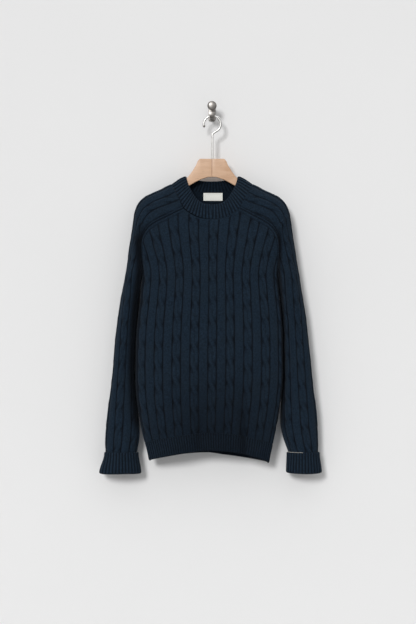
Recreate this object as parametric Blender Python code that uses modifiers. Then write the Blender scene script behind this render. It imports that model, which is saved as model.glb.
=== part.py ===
"""Cable-knit crew-neck sweater on a wooden hanger and a small wall hook.

Run with Blender 4.5: blender --background --python part.py

Frame: +X to the viewer's right, +Y into the wall, +Z up. The origin is the centre of the
wall plate's back, so the wall is the plane y = 0 and everything hangs in front of it.

Sizes are in millimetres in the tables, and become metres where a mesh is made.

The knitted pieces are walls: a plain inside, and an outside that carries the ribs and
cables. Trunk and sleeves are worked out from the rows of the tables below. Every seam is
one line of places that both neighbours use, each a seam gap away from it.
"""

import math
from collections import namedtuple

import bmesh
import bpy
import numpy as np

MM = 0.001

# ---------------------------------------------------------------- cloth and stitch sizes

WALL = 3.0               # plain thickness of the knitting
SEAM_GAP = 0.28          # each piece stays this far from a seam's line
CABLE_HEIGHT = 2.2       # how far a cable's strands stand out
PLAIN_HEIGHT = 0.7       # swell of the plain stitches between two cables
CABLE_UNIT = 42.0        # one cable and the plain stitches beside it
CABLE_HALF = 10.0        # from the middle of a cable to the groove beside it
CABLE_PITCH = 53.0       # length of knitting from one crossing to the next
CABLE_FIRST = 7.0        # the middle cable stands this far right of the panel's middle
ROWS_PER_CROSSING = 3
PLAIN_ROWS = 10          # rows of points down a groove
RELIEF_FADE = 14.0       # cables flatten over this length before a seam

RIB_HEIGHT = 1.3
COLLAR_RIBS = 62
CUFF_RIBS = 30
HEM_RIBS = 116

# ---------------------------------------------------------------- trunk

TrunkRow = namedtuple("TrunkRow", "height half_width middle side_y front back")
TRUNK = (
    TrunkRow(-900, 147.0, -7.0, -56, 34, 34),
    TrunkRow(-884, 149.0, -7.0, -56, 34, 34),
    TrunkRow(-855, 155.0, -7.0, -57, 35, 35),
    TrunkRow(-820, 163.5, -8.5, -57, 37, 37),
    TrunkRow(-777, 171.5, -8.5, -58, 39, 39),
    TrunkRow(-735, 178.0, -8.0, -58, 41, 41),
    TrunkRow(-697, 181.0, -7.5, -58, 42, 42),
    TrunkRow(-615, 182.0, -7.0, -58, 42, 42),
    TrunkRow(-535, 178.5, -6.0, -58, 42, 42),
    TrunkRow(-470, 171.5, -5.0, -58, 41, 41),
    TrunkRow(-415, 168.5, -5.0, -57, 40, 40),
    TrunkRow(-375, 178.0, -5.0, -55, 38, 37),
    TrunkRow(-345, 189.0, -5.0, -54, 37, 35),
    TrunkRow(-300, 205.0, -4.0, -51, 32, 30),
    TrunkRow(-257, 215.0, -1.0, -48, 28, 26),
    TrunkRow(-209, 218.0, 0.0, -46, 24, 22),
    TrunkRow(-170, 218.0, 0.0, -46, 22, 20),
)
TRUNK_SQUARENESS = 2.8   # 2 would be an ellipse; more is flatter in front with rounder sides
TRUNK_FLATNESS = 0.23    # depth over width, for spacing the columns round a section

# Soft hanging folds: the knitting moves in towards the wearer's middle by "depth".
Fold = namedtuple("Fold", "side foot_x head_x head_z width depth")
FOLDS = (
    Fold(-1, -34.0, -30.0, -700.0, 15.0, 5.0),
    Fold(-1, 78.0, 70.0, -660.0, 15.0, 9.0),
    Fold(-1, 22.0, 20.0, -720.0, 24.0, -3.0),
    Fold(-1, -92.0, -84.0, -720.0, 26.0, -3.0),
    Fold(-1, 118.0, 112.0, -700.0, 20.0, -3.0),
    Fold(1, 30.0, 24.0, -690.0, 18.0, 7.0),
    Fold(1, -84.0, -76.0, -650.0, 17.0, 7.0),
    Fold(1, -24.0, -22.0, -720.0, 24.0, -2.5),
)
FOLD_FOOT = -850.0       # folds are deepest from here down

# Neck, armhole and hem lines
NECK_FRONT_DROP = 27.0   # the front neck line's middle, below its corner
NECK_FRONT_CURVE = 2.3
NECK_BACK_DROP = 5.0
HEM_BAND = 44.0          # height of the ribbed hem
HEM_CURVE = {-1: (1.3, 1.8), 1: (1.8, 1.1)}      # front and back: left half, right half
HEM_MIDDLE = {-1: -858.0, 1: -868.0}    # foot of the hem at the middle of front and back
HEM_SIDE = {-1: -886.0, 1: -892.0}      # and at the left and right side seams

# ---------------------------------------------------------------- sleeves

# The first rows run from the neck along the shoulder and down the armhole. Each has the
# sleeve's outermost point and the places where front and back meet it, measured from the
# trunk's middle line. "depth" is the section's half depth, where 0 leaves it to the seam.
ShoulderRow = namedtuple(
    "ShoulderRow",
    "out_x out_z front_x front_z back_x back_z middle_y out_y front_depth back_depth spread",
)
SHOULDER = (
    ShoulderRow(100.0, -196.0, 70.0, -257.0, 60.0, -209.0, -46, -46, 0, 0, 1.30),
    ShoulderRow(127.0, -210.0, 91.0, -267.5, 88.0, -232.0, -46, -46, 0, 0, 1.28),
    ShoulderRow(152.0, -221.5, 111.0, -278.0, 112.0, -255.0, -46, -46, 0, 0, 1.24),
    ShoulderRow(172.0, -233.5, 132.0, -288.5, 134.0, -278.0, -47, -47, 0, 0, 1.20),
    ShoulderRow(184.0, -248.0, 148.5, -299.5, 149.0, -297.0, -48, -48, 0, 0, 1.15),
    ShoulderRow(190.5, -266.0, 159.5, -312.0, 160.0, -312.0, -50, -49, 27.5, 21.5, 1.10),
    ShoulderRow(195.0, -290.0, 167.0, -327.0, 167.0, -327.0, -51, -50, 27.5, 22.0, 1.06),
    ShoulderRow(199.0, -320.0, 170.0, -345.0, 170.0, -345.0, -51, -49, 28.5, 24.0, 1.03),
    ShoulderRow(205.0, -355.0, 170.0, -370.0, 170.0, -370.0, -51, -48, 30.0, 27.0, 1.01),
    ShoulderRow(210.0, -390.0, 169.0, -395.0, 169.0, -395.0, -51.5, -47, 32.0, 31.0, 1.0),
    ShoulderRow(214.0, -415.0, 168.5, -415.0, 168.5, -415.0, -52, -47, 34.0, 34.0, 1.0),
)

# Below the underarm each row is a level section of the sleeve's tube.
TubeRow = namedtuple("TubeRow", "height out_x in_x out_y in_y depth")
TUBE = (
    TubeRow(-415, 214.0, 168.5, -47, -57, 34),
    TubeRow(-450, 220.0, 173.5, -48, -48, 36),
    TubeRow(-495, 227.5, 178.0, -50, -42, 34),
    TubeRow(-540, 234.0, 181.5, -51, -38, 32),
    TubeRow(-585, 239.0, 183.5, -52, -35, 31),
    TubeRow(-630, 243.5, 184.5, -52, -34, 30),
    TubeRow(-675, 248.0, 184.0, -52, -33, 30),
    TubeRow(-720, 253.0, 182.0, -51, -33, 30),
    TubeRow(-765, 259.0, 179.0, -49, -34, 29),
    TubeRow(-800, 262.0, 177.5, -47, -36, 28),
    TubeRow(-830, 264.0, 181.0, -45, -39, 27),
    TubeRow(-868, 264.0, 191.0, -43, -41, 26),
)
TUBE_MIDDLE = {-415: -5.0, -535: -6.5, -700: -7.5, -800: -5.0, -868: 1.5}    # of the inner line
SLEEVE_END = TUBE[-1].height
SHOULDER_ROWS = len(SHOULDER) - 1

# ---------------------------------------------------------------- collar

CollarRow = namedtuple("CollarRow", "x y z")
COLLAR_EDGE = (          # free edge of the right half, from the front middle to the back
    CollarRow(0.0, -77.0, -247.5),
    CollarRow(14.0, -76.8, -246.5),
    CollarRow(26.0, -76.0, -242.5),
    CollarRow(38.0, -74.0, -232.5),
    CollarRow(47.0, -70.0, -219.5),
    CollarRow(55.0, -64.0, -204.5),
    CollarRow(60.5, -58.0, -192.0),
    CollarRow(63.4, -55.5, -182.0),
    CollarRow(64.6, -51.0, -177.0),
    CollarRow(64.8, -46.0, -176.0),
    CollarRow(64.4, -41.0, -176.6),
    CollarRow(61.0, -36.0, -178.6),
    CollarRow(49.0, -31.0, -181.5),
    CollarRow(26.0, -28.0, -185.5),
    CollarRow(0.0, -27.5, -187.0),
)
COLLAR_BULGE = 2.0       # the band stands out a little between its two edges
COLLAR_GAP = 0.3
NECK_BORDER = 4.0        # the panels' last full row lies this far under the neck seam
NECK_RIM_POINTS = {-1: 33, 1: 25}
STRAP_RIM_POINTS = 25

# ---------------------------------------------------------------- cuffs

CUFF_TOP = -865.5        # free edge of the turned-back layer
CUFF_FOLD = {-1: -919.0, 1: -918.0}      # foot of the left and right cuff
CUFF_AIR = 1.5           # between the cuff's two layers
# The cuff widens towards its fold: by this much at its outer side, front and back, inner side.
CUFF_FLARE = {-1: (13.0, 6.0, 7.0), 1: (5.5, 4.5, 1.5)}

# ---------------------------------------------------------------- label

LABEL_WIDTH, LABEL_HEIGHT, LABEL_THICKNESS = 51.0, 22.5, 0.8
LABEL_MIDDLE_X, LABEL_TOP = 2.5, -217.0
LABEL_CLEAR = 0.6        # off the back panel's inside

# ---------------------------------------------------------------- hanger and wall hook

HANGER_Y = -46.0
HANGER_THICKNESS = 12.0
HANGER_EDGE = 3.0        # rounding of the wood
HANGER_TOP = -132.0
HANGER_UPPER = ((31.0, -132.0), (36.0, -138.0), (40.5, -149.0), (48.5, -162.0), (57.0, -173.5),
                (66.0, -184.0), (100.0, -206.0), (125.0, -218.8), (148.0, -230.0), (163.5, -240.7))
HANGER_TIP = ((170.9, -249.7), (173.0, -258.0), (169.0, -263.0))
HANGER_LOWER = ((145.0, -253.0), (110.0, -233.0), (75.0, -210.5), (57.5, -199.5), (42.5, -190.5),
                (27.0, -183.0), (13.0, -179.0), (0.0, -177.8))

WIRE = 5.6               # diameter of the hanger's steel hook
LOOP_RADIUS = 21.0
LOOP_Z = -45.0           # centre of the hook's loop
LOOP_X = 0.6
LOOP_END_ANGLE = 192.0   # the loop's tip, degrees from +X over the top
WIRE_BEND_Z = -68.0      # the stem turns into the loop here

PLATE_WIDTH, PLATE_HEIGHT, PLATE_THICKNESS = 18.0, 46.0, 3.0
PLATE_MIDDLE_Z = -10.0
KNOB_DIAMETER, KNOB_LENGTH = 23.0, 9.0
KNOB_NECK = 9.0
KNOB_FRONT = -63.0
STRAP_WIDTH, LIP_WIDTH, STRAP_THICKNESS = 9.0, 17.0, 2.2
STRAP_DROP = 0.6         # the round wire bears on the strap's two edges
STRAP_FRONT = -52.5
STRAP_LIP_TOP = -15.0
PART_GAP = 0.3

# ---------------------------------------------------------------- colours (linear)

FINISHES = {
    "navy_wool": ((0.0125, 0.0205, 0.0340), 0.92, 0.0),
    "navy_rib": ((0.0115, 0.0190, 0.0315), 0.92, 0.0),
    "label": ((0.72, 0.74, 0.69), 0.80, 0.0),
    "beech": ((0.58, 0.385, 0.255), 0.45, 0.0),
    "steel_wire": ((0.66, 0.65, 0.63), 0.25, 1.0),
    "aged_nickel": ((0.36, 0.34, 0.32), 0.38, 1.0),
}


# ---------------------------------------------------------------- curves through the tables

def track(places, values):
    """A smooth curve through a table's column, read at any place along it."""
    order = np.argsort(places)
    places = np.asarray(places, float)[order]
    values = np.asarray(values, float)[order]
    slopes = np.gradient(values, places)

    def read(place):
        place = np.clip(place, places[0], places[-1])
        i = np.clip(np.searchsorted(places, place) - 1, 0, len(places) - 2)
        step = places[i + 1] - places[i]
        t = (place - places[i]) / step
        return ((2 * t**3 - 3 * t**2 + 1) * values[i] + (t**3 - 2 * t**2 + t) * step * slopes[i]
                + (3 * t**2 - 2 * t**3) * values[i + 1] + (t**3 - t**2) * step * slopes[i + 1])
    return read


def columns_of(rows, places=None):
    """One curve for each named column of a table."""
    where = [row[0] for row in rows] if places is None else places
    return {name: track(where, [getattr(row, name) for row in rows]) for name in rows[0]._fields}


def ease(t):
    """0 to 1 with soft ends."""
    t = np.clip(t, 0.0, 1.0)
    return t * t * (3 - 2 * t)


def unit(vector):
    vector = np.asarray(vector, float)
    return vector / np.maximum(np.linalg.norm(vector, axis=-1, keepdims=True), 1e-9)


TRUNK_AT = columns_of(TRUNK)
SHOULDER_AT = columns_of(SHOULDER, range(len(SHOULDER)))
TUBE_AT = columns_of(TUBE)
TUBE_MIDDLE_AT = track(list(TUBE_MIDDLE), list(TUBE_MIDDLE.values()))


def quarter_outline():
    """A trunk section's quarter, from the middle of the front to the side."""
    angle = np.linspace(0.0, math.pi / 2, 721)
    power = 2 / TRUNK_SQUARENESS
    across, depth = np.sin(angle) ** power, np.cos(angle) ** power
    steps = np.hypot(np.diff(across), TRUNK_FLATNESS * np.diff(depth))
    share = np.concatenate(([0.0], np.cumsum(steps)))
    return share / share[-1], across, depth


QUARTER_SHARE, QUARTER_ACROSS, QUARTER_DEPTH = quarter_outline()


# ---------------------------------------------------------------- trunk

def fold_depth(side, x, z):
    """How far the hanging folds move the knitting in."""
    total = 0.0
    for fold in FOLDS:
        if fold.side == side:
            down = np.clip((fold.head_z - z) / (fold.head_z - FOLD_FOOT), 0.0, 1.0)
            middle = fold.head_x + (fold.foot_x - fold.head_x) * down
            total = total + fold.depth * ease(down) * np.exp(-((x - middle) / fold.width) ** 2)
    return total


def trunk(side, share, z):
    """A point of the plain outside. side is -1 for front and 1 for back; share runs from
    -1 at the left side seam to 1 at the right one."""
    share, z = np.broadcast_arrays(np.asarray(share, float), np.asarray(z, float))
    across = np.interp(np.abs(share), QUARTER_SHARE, QUARTER_ACROSS)
    depth = np.interp(np.abs(share), QUARTER_SHARE, QUARTER_DEPTH)
    x = TRUNK_AT["middle"](z) + np.sign(share) * TRUNK_AT["half_width"](z) * across
    reach = TRUNK_AT["front"](z) if side < 0 else TRUNK_AT["back"](z)
    inward = fold_depth(side, x, z) * ease(depth / 0.7)
    y = TRUNK_AT["side_y"](z) + side * (reach * depth - inward)
    return np.stack([x, y, z], axis=-1)


def trunk_normal(side, share, z):
    """Level outward direction of the trunk."""
    step = 0.004
    left, right = np.clip(share - step, -1, 1), np.clip(share + step, -1, 1)
    around = trunk(side, right, z) - trunk(side, left, z)
    return unit(-side * np.cross(around, [0.0, 0.0, 1.0]))


def share_at(distance, z):
    """The share whose point lies this far from the trunk's middle line."""
    across = np.clip(np.abs(distance) / TRUNK_AT["half_width"](z), 0.0, 1.0)
    return np.interp(across, QUARTER_ACROSS, QUARTER_SHARE)


def hem_foot(side, share):
    """Height of the hem's lower edge."""
    end = np.where(np.asarray(share) < 0, HEM_SIDE[-1], HEM_SIDE[1])
    curve = np.where(np.asarray(share) < 0, *HEM_CURVE[side])
    return HEM_MIDDLE[side] + (end - HEM_MIDDLE[side]) * np.abs(share) ** curve


def neck_height(side, distance):
    """Height of the front or back neck line at a distance from the middle."""
    corner = SHOULDER[0]
    if side < 0:
        rise = (np.abs(distance) / corner.front_x) ** NECK_FRONT_CURVE
        return corner.front_z - NECK_FRONT_DROP * (1 - rise)
    rise = (np.abs(distance) / corner.back_x) ** 2
    return corner.back_z - NECK_BACK_DROP * (1 - rise)


def top_line(side):
    """The panel's upper boundary as share and height: neck line, then armhole seam."""
    edge = "front" if side < 0 else "back"
    corner_x = getattr(SHOULDER[0], edge + "_x")
    shares, heights = [], []
    for distance in np.linspace(0.0, corner_x, 41):
        z = float(neck_height(side, distance))
        shares.append(float(share_at(distance, z)))
        heights.append(z)
    for row in np.linspace(0.0, SHOULDER_ROWS, 201)[1:]:
        z = float(SHOULDER_AT[edge + "_z"](row))
        shares.append(float(share_at(SHOULDER_AT[edge + "_x"](row), z)))
        heights.append(z)
    shares = np.maximum.accumulate(np.array(shares))
    return shares + np.arange(len(shares)) * 1e-9, np.array(heights)


TOP_LINE = {side: top_line(side) for side in (-1, 1)}
CORNER_SHARE = {side: float(TOP_LINE[side][0][40]) for side in (-1, 1)}


def top_height(side, share):
    return np.interp(np.abs(share), *TOP_LINE[side])


def seam_row(side, share):
    """The shoulder table's row where a column of the panel meets the sleeve."""
    shares = TOP_LINE[side][0][40:]
    return np.interp(abs(share), shares, np.linspace(0.0, SHOULDER_ROWS, len(shares)))


# ---------------------------------------------------------------- sleeve sections

def seam_point(hand, side, row):
    """A point on the line where panel and sleeve meet. hand is -1 left, 1 right."""
    edge = "front" if side < 0 else "back"
    z = float(SHOULDER_AT[edge + "_z"](row))
    share = float(share_at(SHOULDER_AT[edge + "_x"](row), z))
    return trunk(side, hand * share, z)


def half_section(hand, side, row):
    """One half of a sleeve's section: outermost point, centre, half depth, last angle."""
    if row >= SHOULDER_ROWS:
        z = tube_height(row)
        middle = TUBE_MIDDLE_AT(z)
        out = np.array([hand * TUBE_AT["out_x"](z), TUBE_AT["out_y"](z), z])
        inner = np.array([middle + hand * TUBE_AT["in_x"](z), TUBE_AT["in_y"](z), z])
        return out, (out + inner) / 2, float(TUBE_AT["depth"](z)), math.pi
    at = {name: float(SHOULDER_AT[name](row)) for name in ShoulderRow._fields}
    seam = seam_point(hand, side, row)
    out = np.array([hand * at["out_x"], at["out_y"], at["out_z"]])
    needed = side * (seam[1] - at["middle_y"])
    depth = max(at["front_depth"] if side < 0 else at["back_depth"], needed)
    lean = at["out_y"] - at["middle_y"]
    reach, phase = math.hypot(lean, depth), math.atan2(depth, lean)
    cosine = max(-1.0, min(1.0, (seam[1] - at["middle_y"]) / reach))
    last = 2 * math.pi - math.acos(cosine) - phase if side < 0 else math.acos(cosine) + phase
    last = min(math.pi, max(math.pi / 2, last))
    centre = (seam - out * math.cos(last)) / (1 - math.cos(last))
    centre[1] = at["middle_y"]
    return out, centre, depth, last


def tube_height(row):
    """Rows past the shoulder's count down the tube, one for each table step of 45 mm."""
    return SHOULDER[-1].out_z - (row - SHOULDER_ROWS) * TUBE_STEP


TUBE_STEP = 45.0
LAST_ROW = SHOULDER_ROWS + (SHOULDER[-1].out_z - SLEEVE_END) / TUBE_STEP
BORDER_ROW = 0.13        # the strap's first full row, close under the neck seam
ARC_SAMPLES = 33


def sleeve_curve(hand, row):
    """The whole section: arc lengths from the outermost point, front below zero, and points."""
    parts = []
    for side in (-1, 1):
        out, centre, depth, last = half_section(hand, side, row)
        angle = np.linspace(0.0, last, ARC_SAMPLES)[:, None]
        points = centre + (out - centre) * np.cos(angle)
        points[:, 1] += side * depth * np.sin(angle[:, 0])
        length = np.concatenate(([0.0], np.cumsum(np.linalg.norm(np.diff(points, axis=0), axis=1))))
        parts.append((length, points))
    lengths = np.concatenate((-parts[0][0][::-1], parts[1][0][1:]))
    points = np.concatenate((parts[0][1][::-1], parts[1][1][1:]))
    return lengths, points


def sleeve_point(curve, length):
    lengths, points = curve
    return np.array([np.interp(length, lengths, points[:, axis]) for axis in range(3)])


def cuff_flare(hand, outward):
    """How far the fold of a cuff stands out where it faces this way."""
    outer, middle, inner = CUFF_FLARE[hand]
    facing = hand * np.asarray(outward)[..., 0]
    return middle + (outer - middle) * np.maximum(facing, 0.0) + (inner - middle) * np.maximum(-facing, 0.0)


def seam_frame(hand, side, row):
    """Point, outward direction and direction from panel to sleeve at the armhole seam."""
    low, high = max(0.0, row - 0.05), min(float(SHOULDER_ROWS), row + 0.05)
    along = unit(seam_point(hand, side, high) - seam_point(hand, side, low))
    turn = math.pi / 2 * float(ease((row / SHOULDER_ROWS - 0.62) / 0.38))
    outward = np.array([0.0, side * math.cos(turn), -math.sin(turn)])
    if row >= SHOULDER_ROWS:
        along = np.array([0.0, 1.0, 0.0])
    across = unit(np.cross(along, outward))
    wanted = np.array([hand, 0.0, 0.3])
    if np.dot(across, wanted) < 0:
        across = -across
    return seam_point(hand, side, row), unit(outward), across


# ---------------------------------------------------------------- neck line

def neck_loop():
    """The closed line on which the collar is linked, from the front middle to the right."""
    points = []
    for distance in np.linspace(0.0, SHOULDER[0].front_x, 49)[:-1]:
        z = float(neck_height(-1, distance))
        points.append(trunk(-1, float(share_at(distance, z)), z))
    points += list(sleeve_curve(1, 0.0)[1])
    for distance in np.linspace(SHOULDER[0].back_x, 0.0, 37)[1:]:
        z = float(neck_height(1, distance))
        points.append(trunk(1, float(share_at(distance, z)), z))
    mirrored = [point * np.array([-1.0, 1.0, 1.0]) for point in points[::-1][1:-1]]
    return np.array(points + mirrored)


def collar_edge_loop():
    """The collar's free edge, from the front middle to the right."""
    places = range(len(COLLAR_EDGE))
    curves = [track(places, [getattr(row, name) for row in COLLAR_EDGE]) for name in CollarRow._fields]
    fine = np.linspace(0, len(COLLAR_EDGE) - 1, 133)
    right = np.stack([curve(fine) for curve in curves], axis=-1)
    left = right[::-1][1:-1] * np.array([-1.0, 1.0, 1.0])
    return np.concatenate((right, left))


def along_loop(points, shares):
    """Points of a closed line at shares of its length."""
    closed = np.concatenate((points, points[:1]))
    length = np.concatenate(([0.0], np.cumsum(np.linalg.norm(np.diff(closed, axis=0), axis=1))))
    return np.stack([np.interp(shares, length / length[-1], closed[:, axis]) for axis in range(3)], axis=-1)


NECK_SAMPLES = 720


def neck_directions():
    """Samples of the neck line with the outward and upward directions of its seam."""
    shares = np.arange(NECK_SAMPLES) / NECK_SAMPLES
    base = along_loop(neck_loop(), shares)
    edge = along_loop(collar_edge_loop(), shares)
    around = unit(np.roll(base, -6, axis=0) - np.roll(base, 6, axis=0))
    outward = unit(np.cross(around, edge - base))
    return base, outward, unit(np.cross(outward, around))


NECK_BASE, NECK_OUTWARD, NECK_UPWARD = neck_directions()


def neck_frame(point):
    """Outward and upward direction of the neck seam nearest to a point."""
    nearest = int(np.argmin(np.linalg.norm(NECK_BASE - point, axis=1)))
    return NECK_OUTWARD[nearest], NECK_UPWARD[nearest]


# ---------------------------------------------------------------- relief of the stitches

def cable_height(across, along):
    """Height of a two-strand cable. across is -1 to 1 over its width, along counts
    crossings downwards. The strand that starts on the left passes over."""
    phase = along % 1.0
    swing = float(ease(phase / 0.6))
    over, under = swing - 0.5, 0.5 - swing
    crossing = 1 - abs(2 * swing - 1)
    height = 0.0
    for middle, strength in ((over, 1.0), (under, 1.0 - 0.75 * crossing)):
        inside = 1 - ((across - middle) / 0.56) ** 2
        height = max(height, strength * math.sqrt(max(0.0, inside)))
    return CABLE_HEIGHT * height


Column = namedtuple("Column", "place kind across")
CABLE_PLACES = (("groove", -1.0), ("cable", -0.55), ("cable", 0.0), ("cable", 0.55), ("groove", 1.0))


def stitch_columns(first, last, offset):
    """Columns of points across a panel, with the cables at every unit from the offset."""
    found = []
    lowest = math.floor((first - offset) / CABLE_UNIT) - 1
    highest = math.ceil((last - offset) / CABLE_UNIT) + 1
    for number in range(lowest, highest + 1):
        middle = offset + number * CABLE_UNIT
        for kind, across in CABLE_PLACES:
            found.append(Column(middle + across * CABLE_HALF, kind, across))
        found.append(Column(middle + CABLE_UNIT / 2, "plain", 0.0))
    return [column for column in found if first + 4.0 < column.place < last - 4.0]


def relief(column, along, to_seam):
    """Height of the outside over the plain wall."""
    fade = float(ease(to_seam / RELIEF_FADE))
    if column.kind == "cable":
        return cable_height(column.across, along / CABLE_PITCH) * fade
    return PLAIN_HEIGHT * fade if column.kind == "plain" else 0.0


# ---------------------------------------------------------------- closed walls from columns

class Wall:
    """Points and triangles of one closed wall."""

    def __init__(self):
        self.points, self.faces = [], []

    def add(self, point):
        self.points.append([float(value) * MM for value in point])
        return len(self.points) - 1

    def triangle(self, a, b, c):
        if len({a, b, c}) == 3:
            self.faces.append((a, b, c))

    def join(self, first, second):
        """Triangles between two lines of (place, point number), in step with their places."""
        i = j = 0
        while i < len(first) - 1 or j < len(second) - 1:
            end_i, end_j = i == len(first) - 1, j == len(second) - 1
            if end_j or (not end_i and first[i + 1][0] <= second[j + 1][0]):
                self.triangle(first[i][1], second[j][1], first[i + 1][1])
                i += 1
            else:
                self.triangle(first[i][1], second[j][1], second[j + 1][1])
                j += 1

    def join_rings(self, first, second):
        """The same between two closed rings of point numbers."""
        def placed(ring):
            return [(k / len(ring), ring[k % len(ring)]) for k in range(len(ring) + 1)]
        self.join(placed(first), placed(second))

    def build(self, name, finish):
        mesh = bpy.data.meshes.new(name)
        mesh.from_pydata(self.points, [], self.faces)
        shape = bmesh.new()
        shape.from_mesh(mesh)
        bmesh.ops.delete(shape, geom=[v for v in shape.verts if not v.link_faces], context="VERTS")
        bmesh.ops.recalc_face_normals(shape, faces=shape.faces)
        if shape.calc_volume(signed=True) < 0.0:
            bmesh.ops.reverse_faces(shape, faces=shape.faces)
        shape.to_mesh(mesh)
        shape.free()
        return show(name, mesh, finish)


def show(name, mesh, finish):
    """Puts a mesh in the collection with its material."""
    piece = bpy.data.objects.new(name, mesh)
    mesh.materials.append(material(finish))
    collection().objects.link(piece)
    return piece


def collection():
    name = "cable_knit_sweater"
    found = bpy.data.collections.get(name)
    if found is None:
        found = bpy.data.collections.new(name)
        bpy.context.scene.collection.children.link(found)
    return found


def material(name):
    found = bpy.data.materials.get(name)
    if found is None:
        colour, roughness, metallic = FINISHES[name]
        found = bpy.data.materials.new(name)
        found.use_nodes = True
        shader = found.node_tree.nodes["Principled BSDF"]
        shader.inputs["Base Color"].default_value = (*colour, 1.0)
        shader.inputs["Roughness"].default_value = roughness
        shader.inputs["Metallic"].default_value = metallic
        found.diffuse_color = (*colour, 1.0)
    return found


# ---------------------------------------------------------------- front and back

def panel_frame(side, share):
    """Top point of a panel's column with its outward direction and the way off the seam."""
    z = float(top_height(side, share))
    point = trunk(side, share, z)
    hand = -1 if share < 0 else 1
    away = np.zeros(3)
    outward = trunk_normal(side, share, z)
    corner = CORNER_SHARE[side]
    if abs(share) >= corner - 1e-6:
        _, outward, across = seam_frame(hand, side, float(seam_row(side, share)))
        away -= across * SEAM_GAP
    if abs(share) <= corner + 1e-6:
        outward, upward = neck_frame(point)
        away -= upward * COLLAR_GAP
    if abs(share) > 1 - 1e-6:
        away[1] += side * SEAM_GAP
    return point, outward, away


def panel_shares(side):
    """Where the columns of a panel stand, with its corners and side seams."""
    reference_z = -470.0
    width = TRUNK_AT["half_width"](reference_z)
    reach = float(TRUNK_AT["front"](reference_z))
    steps = np.hypot(width * np.diff(QUARTER_ACROSS), reach * np.diff(QUARTER_DEPTH))
    half = float(steps.sum())
    offset = CABLE_FIRST if side < 0 else -CABLE_FIRST
    columns = [Column(c.place / half, c.kind, c.across) for c in stitch_columns(-half, half, offset)]
    for share in (-1.0, 1.0, -CORNER_SHARE[side], CORNER_SHARE[side]):
        near = [c for c in columns if abs(c.place - share) < 0.012 and c.kind != "cable"]
        columns = [c for c in columns if c not in near]
        columns.append(Column(share, "groove", 0.0))
    return sorted(columns, key=lambda column: column.place)


def panel_levels(column, foot, top):
    """Heights of the points of one column."""
    if column.kind == "cable":
        step = CABLE_PITCH / ROWS_PER_CROSSING
        count = int((top - foot - 4.0) / step)
        return [foot] + [foot + (k + 0.4) * step for k in range(count)] + [top]
    return list(np.linspace(foot, top, PLAIN_ROWS + 1))


def neck_rim(wall, places, seam_at, corners, inside):
    """A close row of points along the neck seam, between two corners already made."""
    rim = [(places[0], corners[0])]
    for place in places[1:-1]:
        seam = seam_at(place)
        outward, upward = neck_frame(seam)
        point = seam - upward * COLLAR_GAP - outward * (WALL if inside else 0.0)
        rim.append((place, wall.add(point)))
    return rim + [(places[-1], corners[1])]


def build_panel(name, side):
    wall = Wall()
    columns = panel_shares(side)
    corner = CORNER_SHARE[side]
    outer, inner = [], []
    inner_every = 3
    for number, column in enumerate(columns):
        share = column.place
        foot = float(hem_foot(side, share)) + HEM_BAND + SEAM_GAP
        top_point, outward, away = panel_frame(side, share)
        in_neck = abs(share) < corner - 1e-6
        top = float(top_point[2]) - (NECK_BORDER if in_neck else 0.0)
        side_gap = np.array([0.0, side * SEAM_GAP if abs(share) > 1 - 1e-6 else 0.0, 0.0])
        line = []
        for z in panel_levels(column, foot, top):
            place = (z - foot) / (top - foot)
            if z == top and not in_neck:
                point = top_point + away
            else:
                normal = trunk_normal(side, share, z)
                height = relief(column, top - z, min(z - foot, top - z))
                point = trunk(side, share, z) + normal * height + side_gap
            line.append((place, wall.add(point)))
        outer.append(line)
        edge = number in (0, len(columns) - 1)
        if not in_neck or number % inner_every == 0:
            line = []
            for z in np.linspace(foot, top, PLAIN_ROWS + 1):
                place = (z - foot) / (top - foot)
                if z == top and not in_neck:
                    point = top_point + away - outward * WALL
                else:
                    lower = min(z, top - WALL) if edge else z
                    point = trunk(side, share, lower) - trunk_normal(side, share, lower) * WALL + side_gap
                line.append((place, wall.add(point)))
            inner.append((number, line))
    for first, second in zip(outer, outer[1:]):
        wall.join(first, second)
    for (_, first), (_, second) in zip(inner, inner[1:]):
        wall.join(first, second)
    wall.join(outer[0], inner[0][1])
    wall.join(outer[-1], inner[-1][1])
    outer = list(enumerate(outer))
    wall.join([(number, line[0][1]) for number, line in outer],
              [(number, line[0][1]) for number, line in inner])

    def seam_at(share):
        return trunk(side, share, float(top_height(side, share)))

    shares = [column.place for column in columns]
    places = list(np.linspace(-corner, corner, NECK_RIM_POINTS[side]))
    rims = []
    for lines, inside in ((outer, False), (inner, True)):
        tops = [(shares[number], line[-1][1]) for number, line in lines]
        across = [top for top in tops if abs(top[0]) < corner + 1e-6]
        ends = (across[0][1], across[-1][1])
        rim = neck_rim(wall, places, seam_at, ends, inside)
        wall.join(across, rim)
        rims.append([top for top in tops if top[0] < -corner - 1e-6] + rim
                    + [top for top in tops if top[0] > corner + 1e-6])
    wall.join(*rims)
    return wall.build(name, "navy_wool")


# ---------------------------------------------------------------- sleeves

def sleeve_rows(hand):
    """Table rows where the sleeve's seams have points: the panels' own columns, then the tube."""
    rows = {}
    for side in (-1, 1):
        shares = [c.place for c in panel_shares(side) if c.place * hand > 0]
        seam = sorted({round(float(seam_row(side, s)), 5) for s in shares
                       if abs(s) >= CORNER_SHARE[side] - 1e-6})
        tube = [SHOULDER_ROWS + k for k in range(1, int(LAST_ROW - SHOULDER_ROWS) + 1)]
        rows[side] = seam + [SHOULDER_ROWS + 0.35] + tube + [LAST_ROW]
    return rows


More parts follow.
